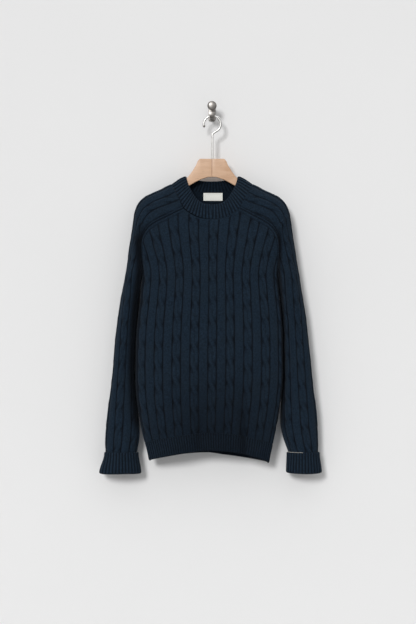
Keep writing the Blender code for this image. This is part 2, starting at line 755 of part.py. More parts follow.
def edge_point(hand, side, row, curve, inside):
    """The sleeve's edge along the armhole, and along the slit under the arm."""
    if row <= SHOULDER_ROWS:
        point, outward, across = seam_frame(hand, side, row)
        point = point + across * SEAM_GAP
        if row >= SHOULDER_ROWS - 1e-6:
            point = point + np.array([0.0, side * SEAM_GAP, 0.0])
    else:
        point = sleeve_point(curve, side * 1e6) + np.array([0.0, side * SEAM_GAP, 0.0])
        outward = np.array([-hand, 0.0, 0.0])
    if row < 1e-6:
        outward, upward = neck_frame(point)
        point = point - upward * COLLAR_GAP
    return point - outward * WALL if inside else point


def build_sleeve(name, hand):
    wall = Wall()
    rows = sleeve_rows(hand)
    curves = {}

    def curve(row):
        key = round(row, 5)
        if key not in curves:
            curves[key] = sleeve_curve(hand, key)
        return curves[key]

    samples = np.linspace(0.0, LAST_ROW, 121)
    reach = {side: np.array([abs(curve(r)[0][0 if side < 0 else -1]) for r in samples])
             for side in (-1, 1)}
    ridge = np.array([sleeve_point(curve(r), 0.0) for r in samples])
    length = np.concatenate(([0.0], np.cumsum(np.linalg.norm(np.diff(ridge, axis=0), axis=1))))
    full = {side: float(reach[side][samples > SHOULDER_ROWS].max()) for side in (-1, 1)}

    def spread(row):
        return float(SHOULDER_AT["spread"](min(row, SHOULDER_ROWS)))

    def squeeze(side, row):
        """The tube narrows towards the cuff, and its columns close up with it."""
        if row <= SHOULDER_ROWS:
            return 1.0
        return float(np.interp(row, samples, reach[side])) / full[side]

    def own_place(column, row):
        side = -1 if column.place < 0 else 1
        return column.place * spread(row) * squeeze(side, row)

    def limit_at(side, row):
        return abs(curve(row)[0][0 if side < 0 else -1])

    def surface(row, place, lift):
        here = curve(row)
        point = sleeve_point(here, place)
        step = 1.5
        around = sleeve_point(here, place + step) - sleeve_point(here, place - step)
        low, high = max(0.0, row - 0.04), min(LAST_ROW, row + 0.04)
        downward = sleeve_point(curve(high), place) - sleeve_point(curve(low), place)
        if row == LAST_ROW:
            downward = np.array([0.0, 0.0, -1.0])
        normal = unit(np.cross(downward, around)) * hand
        return point + normal * lift

    edges = {}
    for side in (-1, 1):
        for inside in (False, True):
            edges[side, inside] = [
                (row, wall.add(edge_point(hand, side, row, curve(row), inside))) for row in rows[side]]

    def column_line(column, free_rows, inside):
        side = -1 if column.place < 0 else 1
        covered = [number for number, (row, _) in enumerate(edges[side, inside])
                   if row < SHOULDER_ROWS and abs(own_place(column, row)) > limit_at(side, row) - 3.5]
        line = edges[side, inside][:covered[-1] + 1] if covered else []
        start = line[-1][0] + 0.12 if line else -1.0
        for row in free_rows:
            place = own_place(column, row)
            limit = limit_at(side, row)
            if row < start or abs(place) > limit - 3.5:
                continue
            along = float(np.interp(row, samples, length))
            to_seam = min(limit - abs(place), along, length[-1] - along)
            lift = -WALL if inside else relief(column, along, to_seam)
            line.append((row, wall.add(surface(row, place, lift))))
        return line

    cable_rows = [BORDER_ROW]
    along = CABLE_PITCH / ROWS_PER_CROSSING * 0.6
    while along < length[-1] - 8.0:
        cable_rows.append(float(np.interp(along, length, samples)))
        along += CABLE_PITCH / ROWS_PER_CROSSING
    cable_rows.append(LAST_ROW)
    plain_rows = [BORDER_ROW, 1.0, 2.0, 3.0, 4.0, 5.0, 6.0, 7.0, 8.0, 9.0] + rows[-1][-11:]
    columns = stitch_columns(-full[-1], full[1], 0.0)
    groups = {}
    for inside in (False, True):
        chosen = columns if not inside else columns[1::3]
        lines = [edges[-1, inside]]
        for column in chosen:
            free = cable_rows if column.kind == "cable" and not inside else plain_rows
            lines.append(column_line(column, free, inside))
        lines.append(edges[1, inside])
        for first, second in zip(lines, lines[1:]):
            wall.join(first, second)
        groups[inside] = ([-full[-1]] + [column.place for column in chosen] + [full[1]], lines)
    for side in (-1, 1):
        wall.join(edges[side, False], edges[side, True])

    def ends(inside, end):
        """The first or last points of the columns, each once."""
        found = []
        for place, line in zip(*groups[inside]):
            if not found or found[-1][1] != line[end][1]:
                found.append((place, line[end][1]))
        return found

    wall.join(ends(False, -1), ends(True, -1))
    neck_end = curve(0.0)
    places = list(np.linspace(neck_end[0][0], neck_end[0][-1], STRAP_RIM_POINTS))
    rims = []
    for inside in (False, True):
        start = ends(inside, 0)
        start = [(place * spread(0.0), point) for place, point in start]
        start[0], start[-1] = (places[0], start[0][1]), (places[-1], start[-1][1])
        rim = neck_rim(wall, places, lambda place: sleeve_point(neck_end, place),
                       (start[0][1], start[-1][1]), inside)
        wall.join(start, rim)
        rims.append(rim)
    wall.join(*rims)
    return wall.build(name, "navy_wool")


# ---------------------------------------------------------------- collar

def build_collar():
    wall = Wall()
    count = 2 * COLLAR_RIBS
    shares = np.arange(count) / count
    base = along_loop(neck_loop(), shares)
    edge = along_loop(collar_edge_loop(), shares)
    frames = [neck_frame(point) for point in base]
    inner_shares = np.arange(0, count, 2)

    def ring(along, lift, numbers, ribbed):
        found = []
        for k in numbers:
            outward, upward = frames[k]
            bulge = COLLAR_BULGE * math.sin(math.pi * along)
            rib = RIB_HEIGHT * (k % 2) if ribbed else 0.0
            start = base[k] + upward * COLLAR_GAP
            found.append(wall.add(start + (edge[k] - start) * along + outward * (lift + bulge + rib)))
        return found

    every = range(count)
    rings = [
        ring(0.0, 0.0, every, True),
        ring(0.55, 0.0, every, True),
        ring(0.90, -0.2, every, True),
        ring(1.0, -WALL / 2, inner_shares, False),
        ring(0.90, -WALL, inner_shares, False),
        ring(0.5, -WALL, inner_shares, False),
        ring(0.0, -WALL, inner_shares, False),
    ]
    for first, second in zip(rings, rings[1:] + rings[:1]):
        wall.join_rings(first, second)
    return wall.build("collar", "navy_rib")


# ---------------------------------------------------------------- hem

def trunk_ring(count, level, lift, rib):
    """A ring of points round the trunk. level maps a side and a share to a height."""
    found = []
    half = count // 2
    for k in range(count):
        side = -1 if k < half else 1
        step = (k % half) / half
        share = (-1 + 2 * step) * -side
        z = float(level(side, share))
        normal = trunk_normal(side, share, z)
        height = lift + (rib if k % 2 else 0.0)
        found.append(trunk(side, share, z) + normal * height)
    return found


def build_hem():
    wall = Wall()
    count = 2 * HEM_RIBS
    plain = 2 * (HEM_RIBS // 3)

    def level(above):
        return lambda side, share: hem_foot(side, share) + above

    outlines = [
        trunk_ring(count, level(HEM_BAND - SEAM_GAP), -0.3, RIB_HEIGHT),
        trunk_ring(count, level(1.2), -0.3, RIB_HEIGHT),
        trunk_ring(plain, level(0.0), -WALL / 2, 0.0),
        trunk_ring(plain, level(1.2), -WALL, 0.0),
        trunk_ring(plain, level(HEM_BAND - SEAM_GAP), -WALL, 0.0),
    ]
    rings = [[wall.add(point) for point in outline] for outline in outlines]
    for first, second in zip(rings, rings[1:] + rings[:1]):
        wall.join_rings(first, second)
    return wall.build("hem_rib", "navy_rib")


# ---------------------------------------------------------------- cuffs

def build_cuff(name, hand):
    wall = Wall()
    section = sleeve_curve(hand, LAST_ROW)
    start, round_length = section[0][0], section[0][-1] - section[0][0]
    foot = CUFF_FOLD[hand]
    count = 2 * CUFF_RIBS

    def ring(z, lift, number, ribbed=False):
        """A ring this far outside the sleeve's end, wider towards the fold."""
        widening = float(ease((SLEEVE_END - z) / (SLEEVE_END - foot)))
        found = []
        for k in range(number):
            place = start + round_length * (k + 0.5) / number
            point = sleeve_point(section, place)
            around = sleeve_point(section, place + 1.0) - sleeve_point(section, place - 1.0)
            outward = hand * unit(np.cross([0.0, 0.0, -1.0], around))
            rib = RIB_HEIGHT * (k % 2) if ribbed else 0.0
            point = point + outward * (lift + widening * cuff_flare(hand, outward) + rib)
            found.append(wall.add((point[0], point[1], z)))
        return found

    outer = CUFF_AIR + WALL - 0.5
    plain = count // 2
    rings = [
        ring(SLEEVE_END - 2 * SEAM_GAP, -WALL, plain),
        ring(foot + 6.0, -WALL, plain),
        ring(foot, CUFF_AIR / 2, plain),
        ring(foot + 5.0, outer, count, True),
        ring(CUFF_TOP - 2.0, outer, count, True),
        ring(CUFF_TOP, outer - 0.5, plain),
        ring(CUFF_TOP, CUFF_AIR, plain),
        ring(foot + 9.0, CUFF_AIR, plain),
        ring(foot + 9.0, 0.0, plain),
        ring(SLEEVE_END - 2 * SEAM_GAP, 0.0, plain),
    ]
    for first, second in zip(rings, rings[1:] + rings[:1]):
        wall.join_rings(first, second)
    return wall.build(name, "navy_rib")


# ---------------------------------------------------------------- label

def build_label():
    wall = Wall()
    across, down = 6, 2
    layers = []
    for lift in (WALL + LABEL_CLEAR, WALL + LABEL_CLEAR + LABEL_THICKNESS):
        grid = []
        for i in range(across + 1):
            line = []
            for j in range(down + 1):
                x = LABEL_MIDDLE_X + LABEL_WIDTH * (i / across - 0.5)
                z = LABEL_TOP - LABEL_HEIGHT * j / down
                middle = float(TRUNK_AT["middle"](z))
                share = math.copysign(float(share_at(abs(x - middle), z)), x - middle)
                point = trunk(1, share, z) - trunk_normal(1, share, z) * lift
                line.append((j, wall.add(point)))
            grid.append(line)
        layers.append(grid)
        for first, second in zip(grid, grid[1:]):
            wall.join(first, second)
    below, above = layers
    for end in (0, -1):
        wall.join(below[end], above[end])
        wall.join([(i, line[end][1]) for i, line in enumerate(below)],
                  [(i, line[end][1]) for i, line in enumerate(above)])
    return wall.build("neck_label", "label")


# ---------------------------------------------------------------- hanger

def build_hanger_half(name, hand):
    """A flat outline as thick as the wood, its edges rounded."""
    inner = PART_GAP / 2
    outline = [(inner, HANGER_TOP), *HANGER_UPPER, *HANGER_TIP, *HANGER_LOWER[:-1],
               (inner, HANGER_LOWER[-1][1])]
    shape = bmesh.new()
    front = HANGER_Y - HANGER_THICKNESS / 2
    corners = [shape.verts.new((hand * x * MM, front * MM, z * MM)) for x, z in outline]
    face = shape.faces.new(corners)
    grown = bmesh.ops.extrude_face_region(shape, geom=[face])
    moved = [item for item in grown["geom"] if isinstance(item, bmesh.types.BMVert)]
    bmesh.ops.translate(shape, verts=moved, vec=(0.0, HANGER_THICKNESS * MM, 0.0))
    bmesh.ops.recalc_face_normals(shape, faces=shape.faces)
    mesh = bpy.data.meshes.new(name)
    shape.to_mesh(mesh)
    shape.free()
    piece = show(name, mesh, "beech")
    rounding = piece.modifiers.new("rounded edges", "BEVEL")
    rounding.width = HANGER_EDGE * MM
    rounding.segments = 2
    rounding.limit_method = "ANGLE"
    rounding.angle_limit = math.radians(40)
    return piece


def wire_route():
    """Middle line of the steel hook: the stem, the turn to the right, the loop over the top."""
    points = [(LOOP_X, HANGER_TOP + PART_GAP), (LOOP_X, WIRE_BEND_Z - 3.0), (LOOP_X + 0.6, WIRE_BEND_Z)]
    start, stop = -38.0, LOOP_END_ANGLE
    first = (LOOP_X + LOOP_RADIUS * math.cos(math.radians(start)),
             LOOP_Z + LOOP_RADIUS * math.sin(math.radians(start)))
    for t in (0.3, 0.65):
        points.append((points[2][0] + (first[0] - points[2][0]) * t,
                       WIRE_BEND_Z + (first[1] - WIRE_BEND_Z) * t * (0.9 + 0.1 * t)))
    for k in range(19):
        angle = math.radians(start + (stop - start) * k / 18)
        points.append((LOOP_X + LOOP_RADIUS * math.cos(angle), LOOP_Z + LOOP_RADIUS * math.sin(angle)))
    return points


def build_hanger_hook():
    curve = bpy.data.curves.new("hanger_hook", "CURVE")
    curve.dimensions = "3D"
    curve.bevel_depth = WIRE / 2 * MM
    curve.bevel_resolution = 2
    curve.use_fill_caps = True
    spline = curve.splines.new("POLY")
    route = wire_route()
    spline.points.add(len(route) - 1)
    for point, (x, z) in zip(spline.points, route):
        point.co = (x * MM, HANGER_Y * MM, z * MM, 1.0)
    piece = bpy.data.objects.new("hanger_hook", curve)
    curve.materials.append(material("steel_wire"))
    collection().objects.link(piece)
    return piece


# ---------------------------------------------------------------- wall hook

def build_wall_plate():
    shape = bmesh.new()
    bmesh.ops.create_cube(shape, size=1.0)
    bmesh.ops.scale(shape, verts=shape.verts,
                    vec=(PLATE_WIDTH * MM, PLATE_THICKNESS * MM, PLATE_HEIGHT * MM))
    bmesh.ops.translate(shape, verts=shape.verts,
                        vec=(0.0, -PLATE_THICKNESS / 2 * MM, PLATE_MIDDLE_Z * MM))
    upright = [edge for edge in shape.edges
               if abs(edge.verts[0].co.y - edge.verts[1].co.y) > PLATE_THICKNESS * MM / 2]
    bmesh.ops.bevel(shape, geom=upright, offset=5.0 * MM, segments=4, affect="EDGES", profile=0.5)
    mesh = bpy.data.meshes.new("wall_plate")
    shape.to_mesh(mesh)
    shape.free()
    return show("wall_plate", mesh, "aged_nickel")


def build_wall_knob():
    """Stem and round knob, turned about a line that leaves the wall."""
    neck, radius = KNOB_NECK / 2, KNOB_DIAMETER / 2
    back, face = PLATE_THICKNESS + PART_GAP, -KNOB_FRONT
    rear = face - KNOB_LENGTH
    profile = [(0.0, face), (radius - 2.5, face - 1.0), (radius, face - 3.5), (radius, rear + 2.0),
               (radius - 1.0, rear), (neck + 3.0, rear), (neck, rear - 3.0), (neck, back + 3.0),
               (neck + 1.5, back), (0.0, back)]
    mesh = bpy.data.meshes.new("wall_knob")
    corners = [(reach * MM, 0.0, away * MM) for reach, away in profile]
    mesh.from_pydata(corners, [(k, k + 1) for k in range(len(corners) - 1)], [])
    piece = show("wall_knob", mesh, "aged_nickel")
    piece.rotation_euler = (math.pi / 2, 0.0, 0.0)
    turning = piece.modifiers.new("turned", "SCREW")
    turning.steps = 20
    turning.render_steps = 20
    turning.use_merge_vertices = True
    turning.merge_threshold = 0.00001
    return piece


def build_wall_strap():
    """The flat strap that leaves the plate, carries the hanger's wire and turns up in front."""
    seat = LOOP_Z + LOOP_RADIUS - WIRE / 2 - PART_GAP - STRAP_DROP    # under the wire
    level = seat - STRAP_THICKNESS / 2
    back = -PLATE_THICKNESS - PART_GAP
    turn = 6.0
    path = [(back, level), (STRAP_FRONT + turn, level)]
    for k in range(1, 6):
        angle = math.radians(90 * k / 5)
        path.append((STRAP_FRONT + turn - turn * math.sin(angle), level + turn - turn * math.cos(angle)))
    path.append((STRAP_FRONT, STRAP_LIP_TOP))
    strip = bmesh.new()
    rows = []
    for number, (y, z) in enumerate(path):
        widening = max(0, number - 1) / (len(path) - 2)
        half = (STRAP_WIDTH + (LIP_WIDTH - STRAP_WIDTH) * widening) / 2
        rows.append([strip.verts.new((x * MM, y * MM, z * MM)) for x in (-half, half)])
    for first, second in zip(rows, rows[1:]):
        strip.faces.new((first[0], first[1], second[1], second[0]))
    mesh = bpy.data.meshes.new("wall_strap")
    strip.to_mesh(mesh)
    strip.free()
    piece = show("wall_strap", mesh, "aged_nickel")
    thickness = piece.modifiers.new("sheet metal", "SOLIDIFY")
    thickness.thickness = STRAP_THICKNESS * MM
    thickness.offset = 0.0
    thickness.use_even_offset = True
    return piece


# ---------------------------------------------------------------- all pieces

def main():
    for piece in list(bpy.data.objects):
        bpy.data.objects.remove(piece, do_unlink=True)
    build_panel("front", -1)
    build_panel("back", 1)
    build_sleeve("sleeve_left", -1)
    build_sleeve("sleeve_right", 1)
    build_collar()
    build_hem()
    build_cuff("cuff_left", -1)
    build_cuff("cuff_right", 1)
    build_label()
    build_hanger_half("hanger_left", -1)
    build_hanger_half("hanger_right", 1)
    build_hanger_hook()
    build_wall_plate()
    build_wall_strap()
    build_wall_knob()


main()
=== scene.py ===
"""Cable-knit crew-neck sweater on its hanger: the fine surface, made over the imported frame.

Frame: +X to the viewer's right, +Y into the wall, +Z up, origin at the wall plate's back.
The tables are in millimetres and become metres where a mesh is made. The trunk, sleeve and
neck functions are the same as the frame's, so each piece lies on its solid.
"""

import math
from collections import namedtuple

import bmesh
import bpy
import numpy as np
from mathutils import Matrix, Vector


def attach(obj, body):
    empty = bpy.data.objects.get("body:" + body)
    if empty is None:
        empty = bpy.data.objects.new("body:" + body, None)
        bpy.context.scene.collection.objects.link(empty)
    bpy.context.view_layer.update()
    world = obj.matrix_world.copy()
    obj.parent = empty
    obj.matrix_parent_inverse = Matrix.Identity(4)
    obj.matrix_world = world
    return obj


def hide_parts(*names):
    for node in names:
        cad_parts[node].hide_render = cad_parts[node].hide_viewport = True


bl_info = {
    "name": "Cable-knit sweater",
    "version": (1, 0),
    "blender": (4, 5, 0),
    "location": "3D view > Sidebar > Sweater",
    "description": "Knits a hanging cable sweater with its hanger, wall hook and stage",
    "category": "Object",
}

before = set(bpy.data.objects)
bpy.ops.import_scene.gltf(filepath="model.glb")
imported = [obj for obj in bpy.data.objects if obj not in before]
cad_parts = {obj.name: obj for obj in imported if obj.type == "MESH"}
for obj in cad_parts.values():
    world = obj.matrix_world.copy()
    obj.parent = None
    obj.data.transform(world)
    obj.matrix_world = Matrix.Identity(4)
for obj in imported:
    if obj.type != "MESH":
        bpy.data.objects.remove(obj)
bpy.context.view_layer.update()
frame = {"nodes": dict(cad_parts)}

MM = 0.001
SAME = 1e-6              # places closer than this, in metres, are the same

# ---------------------------------------------------------------- sizes

WALL = 3.0               # plain thickness of the knitting
SEAM_GAP = 0.06          # each piece stays this far from a seam's line
CABLE_UNIT = 42.0        # one cable and the plain stitches beside it
CABLE_HALF = 10.0        # from the middle of a cable to the groove beside it
CABLE_PITCH = 53.0       # length of knitting from one crossing to the next
CABLE_FIRST = 7.0        # the middle cable stands this far right of the panel's middle
CHEST_Z = -470.0         # the columns are spaced for the width here

COLLAR_RIBS = 62
CUFF_RIBS = 30
HEM_RIBS = 116

# ---------------------------------------------------------------- trunk

TrunkRow = namedtuple("TrunkRow", "height half_width middle side_y front back")
TRUNK = (
    TrunkRow(-900, 147.0, -7.0, -56, 34, 34),
    TrunkRow(-884, 149.0, -7.0, -56, 34, 34),
    TrunkRow(-855, 155.0, -7.0, -57, 35, 35),
    TrunkRow(-820, 163.5, -8.5, -57, 37, 37),
    TrunkRow(-777, 171.5, -8.5, -58, 39, 39),
    TrunkRow(-735, 178.0, -8.0, -58, 41, 41),
    TrunkRow(-697, 181.0, -7.5, -58, 42, 42),
    TrunkRow(-615, 182.0, -7.0, -58, 42, 42),
    TrunkRow(-535, 178.5, -6.0, -58, 42, 42),
    TrunkRow(-470, 171.5, -5.0, -58, 41, 41),
    TrunkRow(-415, 168.5, -5.0, -57, 40, 40),
    TrunkRow(-375, 178.0, -5.0, -55, 38, 37),
    TrunkRow(-345, 189.0, -5.0, -54, 37, 35),
    TrunkRow(-300, 205.0, -4.0, -51, 32, 30),
    TrunkRow(-257, 215.0, -1.0, -48, 28, 26),
    TrunkRow(-209, 218.0, 0.0, -46, 24, 22),
    TrunkRow(-170, 218.0, 0.0, -46, 22, 20),
)
TRUNK_SQUARENESS = 2.8   # 2 would be an ellipse; more is flatter in front with rounder sides
TRUNK_FLATNESS = 0.23    # depth over width, for spacing the columns round a section

# Soft hanging folds: the knitting moves in towards the wearer's middle by "depth".
Fold = namedtuple("Fold", "side foot_x head_x head_z width depth")
FOLDS = (
    Fold(-1, -34.0, -30.0, -700.0, 15.0, 5.0),
    Fold(-1, 78.0, 70.0, -660.0, 15.0, 9.0),
    Fold(-1, 22.0, 20.0, -720.0, 24.0, -3.0),
    Fold(-1, -92.0, -84.0, -720.0, 26.0, -3.0),
    Fold(-1, 118.0, 112.0, -700.0, 20.0, -3.0),
    Fold(1, 30.0, 24.0, -690.0, 18.0, 7.0),
    Fold(1, -84.0, -76.0, -650.0, 17.0, 7.0),
    Fold(1, -24.0, -22.0, -720.0, 24.0, -2.5),
)
FOLD_FOOT = -850.0       # folds are deepest from here down
FOLD_FADE = 0.7          # nearer the side seam than this share of the depth, folds fade out

# Neck, armhole and hem lines
NECK_FRONT_DROP = 27.0   # the front neck line's middle, below its corner
NECK_FRONT_CURVE = 2.3
NECK_BACK_DROP = 5.0
HEM_BAND = 44.0          # height of the ribbed hem
HEM_CURVE = {-1: (1.3, 1.8), 1: (1.8, 1.1)}      # front and back: left half, right half
HEM_MIDDLE = {-1: -858.0, 1: -868.0}    # foot of the hem at the middle of front and back
HEM_SIDE = {-1: -886.0, 1: -892.0}      # and at the left and right side seams

# ---------------------------------------------------------------- sleeves

# The first rows run from the neck along the shoulder and down the armhole. Each has the
# sleeve's outermost point and the places where front and back meet it, measured from the
# trunk's middle line. The depths are the section's half depths, where 0 leaves them to the seam.
ShoulderRow = namedtuple(
    "ShoulderRow",
    "out_x out_z front_x front_z back_x back_z middle_y out_y front_depth back_depth spread",
)
SHOULDER = (
    ShoulderRow(100.0, -196.0, 70.0, -257.0, 60.0, -209.0, -46, -46, 0, 0, 1.30),
    ShoulderRow(127.0, -210.0, 91.0, -267.5, 88.0, -232.0, -46, -46, 0, 0, 1.28),
    ShoulderRow(152.0, -221.5, 111.0, -278.0, 112.0, -255.0, -46, -46, 0, 0, 1.24),
    ShoulderRow(172.0, -233.5, 132.0, -288.5, 134.0, -278.0, -47, -47, 0, 0, 1.20),
    ShoulderRow(184.0, -248.0, 148.5, -299.5, 149.0, -297.0, -48, -48, 0, 0, 1.15),
    ShoulderRow(190.5, -266.0, 159.5, -312.0, 160.0, -312.0, -50, -49, 27.5, 21.5, 1.10),
    ShoulderRow(195.0, -290.0, 167.0, -327.0, 167.0, -327.0, -51, -50, 27.5, 22.0, 1.06),
    ShoulderRow(199.0, -320.0, 170.0, -345.0, 170.0, -345.0, -51, -49, 28.5, 24.0, 1.03),
    ShoulderRow(205.0, -355.0, 170.0, -370.0, 170.0, -370.0, -51, -48, 30.0, 27.0, 1.01),
    ShoulderRow(210.0, -390.0, 169.0, -395.0, 169.0, -395.0, -51.5, -47, 32.0, 31.0, 1.0),
    ShoulderRow(214.0, -415.0, 168.5, -415.0, 168.5, -415.0, -52, -47, 34.0, 34.0, 1.0),
)

# Below the underarm each row is a level section of the sleeve's tube.
TubeRow = namedtuple("TubeRow", "height out_x in_x out_y in_y depth")
TUBE = (
    TubeRow(-415, 214.0, 168.5, -47, -57, 34),
    TubeRow(-450, 220.0, 173.5, -48, -48, 36),
    TubeRow(-495, 227.5, 178.0, -50, -42, 34),
    TubeRow(-540, 234.0, 181.5, -51, -38, 32),
    TubeRow(-585, 239.0, 183.5, -52, -35, 31),
    TubeRow(-630, 243.5, 184.5, -52, -34, 30),
    TubeRow(-675, 248.0, 184.0, -52, -33, 30),
    TubeRow(-720, 253.0, 182.0, -51, -33, 30),
    TubeRow(-765, 259.0, 179.0, -49, -34, 29),
    TubeRow(-800, 262.0, 177.5, -47, -36, 28),
    TubeRow(-830, 264.0, 181.0, -45, -39, 27),
    TubeRow(-868, 264.0, 191.0, -43, -41, 26),
)
TUBE_MIDDLE = {-415: -5.0, -535: -6.5, -700: -7.5, -800: -5.0, -868: 1.5}    # of the inner line
SLEEVE_END = TUBE[-1].height
SHOULDER_ROWS = len(SHOULDER) - 1

# ---------------------------------------------------------------- collar

CollarRow = namedtuple("CollarRow", "x y z")
COLLAR_EDGE = (          # free edge of the right half, from the front middle to the back
    CollarRow(0.0, -77.0, -247.5),
    CollarRow(14.0, -76.8, -246.5),
    CollarRow(26.0, -76.0, -242.5),
    CollarRow(38.0, -74.0, -232.5),
    CollarRow(47.0, -70.0, -219.5),
    CollarRow(55.0, -64.0, -204.5),
    CollarRow(60.5, -58.0, -192.0),
    CollarRow(63.4, -55.5, -182.0),
    CollarRow(64.6, -51.0, -177.0),
    CollarRow(64.8, -46.0, -176.0),
    CollarRow(64.4, -41.0, -176.6),
    CollarRow(61.0, -36.0, -178.6),
    CollarRow(49.0, -31.0, -181.5),
    CollarRow(26.0, -28.0, -185.5),
    CollarRow(0.0, -27.5, -187.0),
)
COLLAR_BULGE = 2.0       # the band stands out a little between its two edges
COLLAR_GAP = 0.02        # on each side of the neck line

# ---------------------------------------------------------------- cuffs

CUFF_TOP = -865.5        # free edge of the turned-back layer
CUFF_FOLD = {-1: -919.0, 1: -918.0}      # foot of the left and right cuff
CUFF_AIR = 1.5           # between the cuff's two layers
# The cuff widens towards its fold: by this much at its outer side, front and back, inner side.
CUFF_FLARE = {-1: (13.0, 6.0, 7.0), 1: (5.5, 4.5, 1.5)}

# ---------------------------------------------------------------- label

LABEL_WIDTH, LABEL_HEIGHT, LABEL_THICKNESS = 48.0, 19.5, 0.8
LABEL_MIDDLE_X, LABEL_TOP = 2.5, -216.0
LABEL_CLEAR = 0.75       # between the label's middle and the back panel's inside
LABEL_HEM = 0.25         # the folded edge is this much thicker
YARN_RADIUS = 0.55
YARN_START, YARN_RUN = 0.97, 0.46        # its start and length, over the half section in front

# ---------------------------------------------------------------- hanger and wall hook

HANGER_Y = -46.0
HANGER_THICKNESS = 12.0
HANGER_EDGE = 3.0        # rounding of the wood
HANGER_TOP = -132.0
HANGER_UPPER = ((31.0, -132.0), (36.0, -138.0), (40.5, -149.0), (48.5, -162.0), (57.0, -173.5),
                (66.0, -184.0), (100.0, -206.0), (125.0, -218.8), (148.0, -230.0), (163.5, -240.7))
HANGER_TIP = ((170.9, -249.7), (173.0, -258.0), (169.0, -263.0))
HANGER_LOWER = ((145.0, -253.0), (110.0, -233.0), (75.0, -210.5), (57.5, -199.5), (42.5, -190.5),
                (27.0, -183.0), (13.0, -179.0), (0.0, -177.8))

WIRE = 5.6               # diameter of the hanger's steel hook
LOOP_RADIUS = 21.0
LOOP_Z = -45.0           # centre of the hook's loop
LOOP_X = 0.6
LOOP_START_ANGLE = -38.0     # the stem runs into the loop here, degrees from +X over the top
LOOP_END_ANGLE = 192.0   # the loop's tip
WIRE_BEND_Z = -68.0      # the stem turns into the loop here

PLATE_WIDTH, PLATE_HEIGHT, PLATE_THICKNESS = 18.0, 46.0, 3.0
PLATE_MIDDLE_Z = -10.0
KNOB_DIAMETER, KNOB_LENGTH = 23.0, 9.0
KNOB_NECK = 9.0
KNOB_FRONT = -63.0
STRAP_WIDTH, LIP_WIDTH, STRAP_THICKNESS = 9.0, 17.0, 2.2
STRAP_DROP = 0.6         # the round wire bears on the strap's two edges
STRAP_FRONT = -52.5
STRAP_LIP_TOP = -15.0
STRAP_BEND = 6.0         # radius of the bend up to the lip
PART_GAP = 0.3
PLATE_CORNER, PLATE_SOFTENING = 5.0, 0.7         # rounding of its corners and of its front edge
KNOB_SOFTENING, STRAP_SOFTENING = 0.6, 0.5
TIP_SWELL = 0.35         # the wire's tip is this much thicker all round
TIP_LENGTHENING = 1.25


# ---------------------------------------------------------------- curves through the tables

def track(places, values):
    """A smooth curve through a table's column, read at any place along it."""
    order = np.argsort(places)
    places = np.asarray(places, float)[order]
    values = np.asarray(values, float)[order]
    slopes = np.gradient(values, places)

    def read(place):
        place = np.clip(place, places[0], places[-1])
        i = np.clip(np.searchsorted(places, place) - 1, 0, len(places) - 2)
        step = places[i + 1] - places[i]
        t = (place - places[i]) / step
        return ((2 * t**3 - 3 * t**2 + 1) * values[i] + (t**3 - 2 * t**2 + t) * step * slopes[i]
                + (3 * t**2 - 2 * t**3) * values[i + 1] + (t**3 - t**2) * step * slopes[i + 1])
    return read


def columns_of(rows, places=None):
    """One curve for each named column of a table."""
    where = [row[0] for row in rows] if places is None else places
    return {name: track(where, [getattr(row, name) for row in rows]) for name in rows[0]._fields}


def ease(t):
    """0 to 1 with soft ends."""
    t = np.clip(t, 0.0, 1.0)
    return t * t * (3 - 2 * t)


def unit(vector):
    vector = np.asarray(vector, float)
    return vector / np.maximum(np.linalg.norm(vector, axis=-1, keepdims=True), 1e-9)


TRUNK_AT = columns_of(TRUNK)
SHOULDER_AT = columns_of(SHOULDER, range(len(SHOULDER)))
TUBE_AT = columns_of(TUBE)
TUBE_MIDDLE_AT = track(list(TUBE_MIDDLE), list(TUBE_MIDDLE.values()))


def quarter_outline():
    """A trunk section's quarter, from the middle of the front to the side."""
    angle = np.linspace(0.0, math.pi / 2, 721)
    power = 2 / TRUNK_SQUARENESS
    across, depth = np.sin(angle) ** power, np.cos(angle) ** power
    steps = np.hypot(np.diff(across), TRUNK_FLATNESS * np.diff(depth))
    share = np.concatenate(([0.0], np.cumsum(steps)))
    return share / share[-1], across, depth


QUARTER_SHARE, QUARTER_ACROSS, QUARTER_DEPTH = quarter_outline()


# ---------------------------------------------------------------- trunk

def fold_place(fold, z):
    """How far down a fold a height lies, from 0 at its head to 1, and the fold's middle there."""
    down = np.clip((fold.head_z - z) / (fold.head_z - FOLD_FOOT), 0.0, 1.0)
    return down, fold.head_x + (fold.foot_x - fold.head_x) * down


def fold_depth(side, x, z):
    """How far the hanging folds move the knitting in."""
    total = 0.0
    for fold in FOLDS:
        if fold.side == side:
            down, middle = fold_place(fold, z)
            total = total + fold.depth * ease(down) * np.exp(-((x - middle) / fold.width) ** 2)
    return total


def trunk(side, share, z):
    """A point of the plain outside. side is -1 for front and 1 for back; share runs from
    -1 at the left side seam to 1 at the right one."""
    share, z = np.broadcast_arrays(np.asarray(share, float), np.asarray(z, float))
    across = np.interp(np.abs(share), QUARTER_SHARE, QUARTER_ACROSS)
    depth = np.interp(np.abs(share), QUARTER_SHARE, QUARTER_DEPTH)
    x = TRUNK_AT["middle"](z) + np.sign(share) * TRUNK_AT["half_width"](z) * across
    reach = TRUNK_AT["front"](z) if side < 0 else TRUNK_AT["back"](z)
    inward = fold_depth(side, x, z) * ease(depth / FOLD_FADE)
    y = TRUNK_AT["side_y"](z) + side * (reach * depth - inward)
    return np.stack([x, y, z], axis=-1)


def trunk_normal(side, share, z):
    """Level outward direction of the trunk."""
    step = 0.004
    left, right = np.clip(share - step, -1, 1), np.clip(share + step, -1, 1)
    around = trunk(side, right, z) - trunk(side, left, z)
    return unit(-side * np.cross(around, [0.0, 0.0, 1.0]))


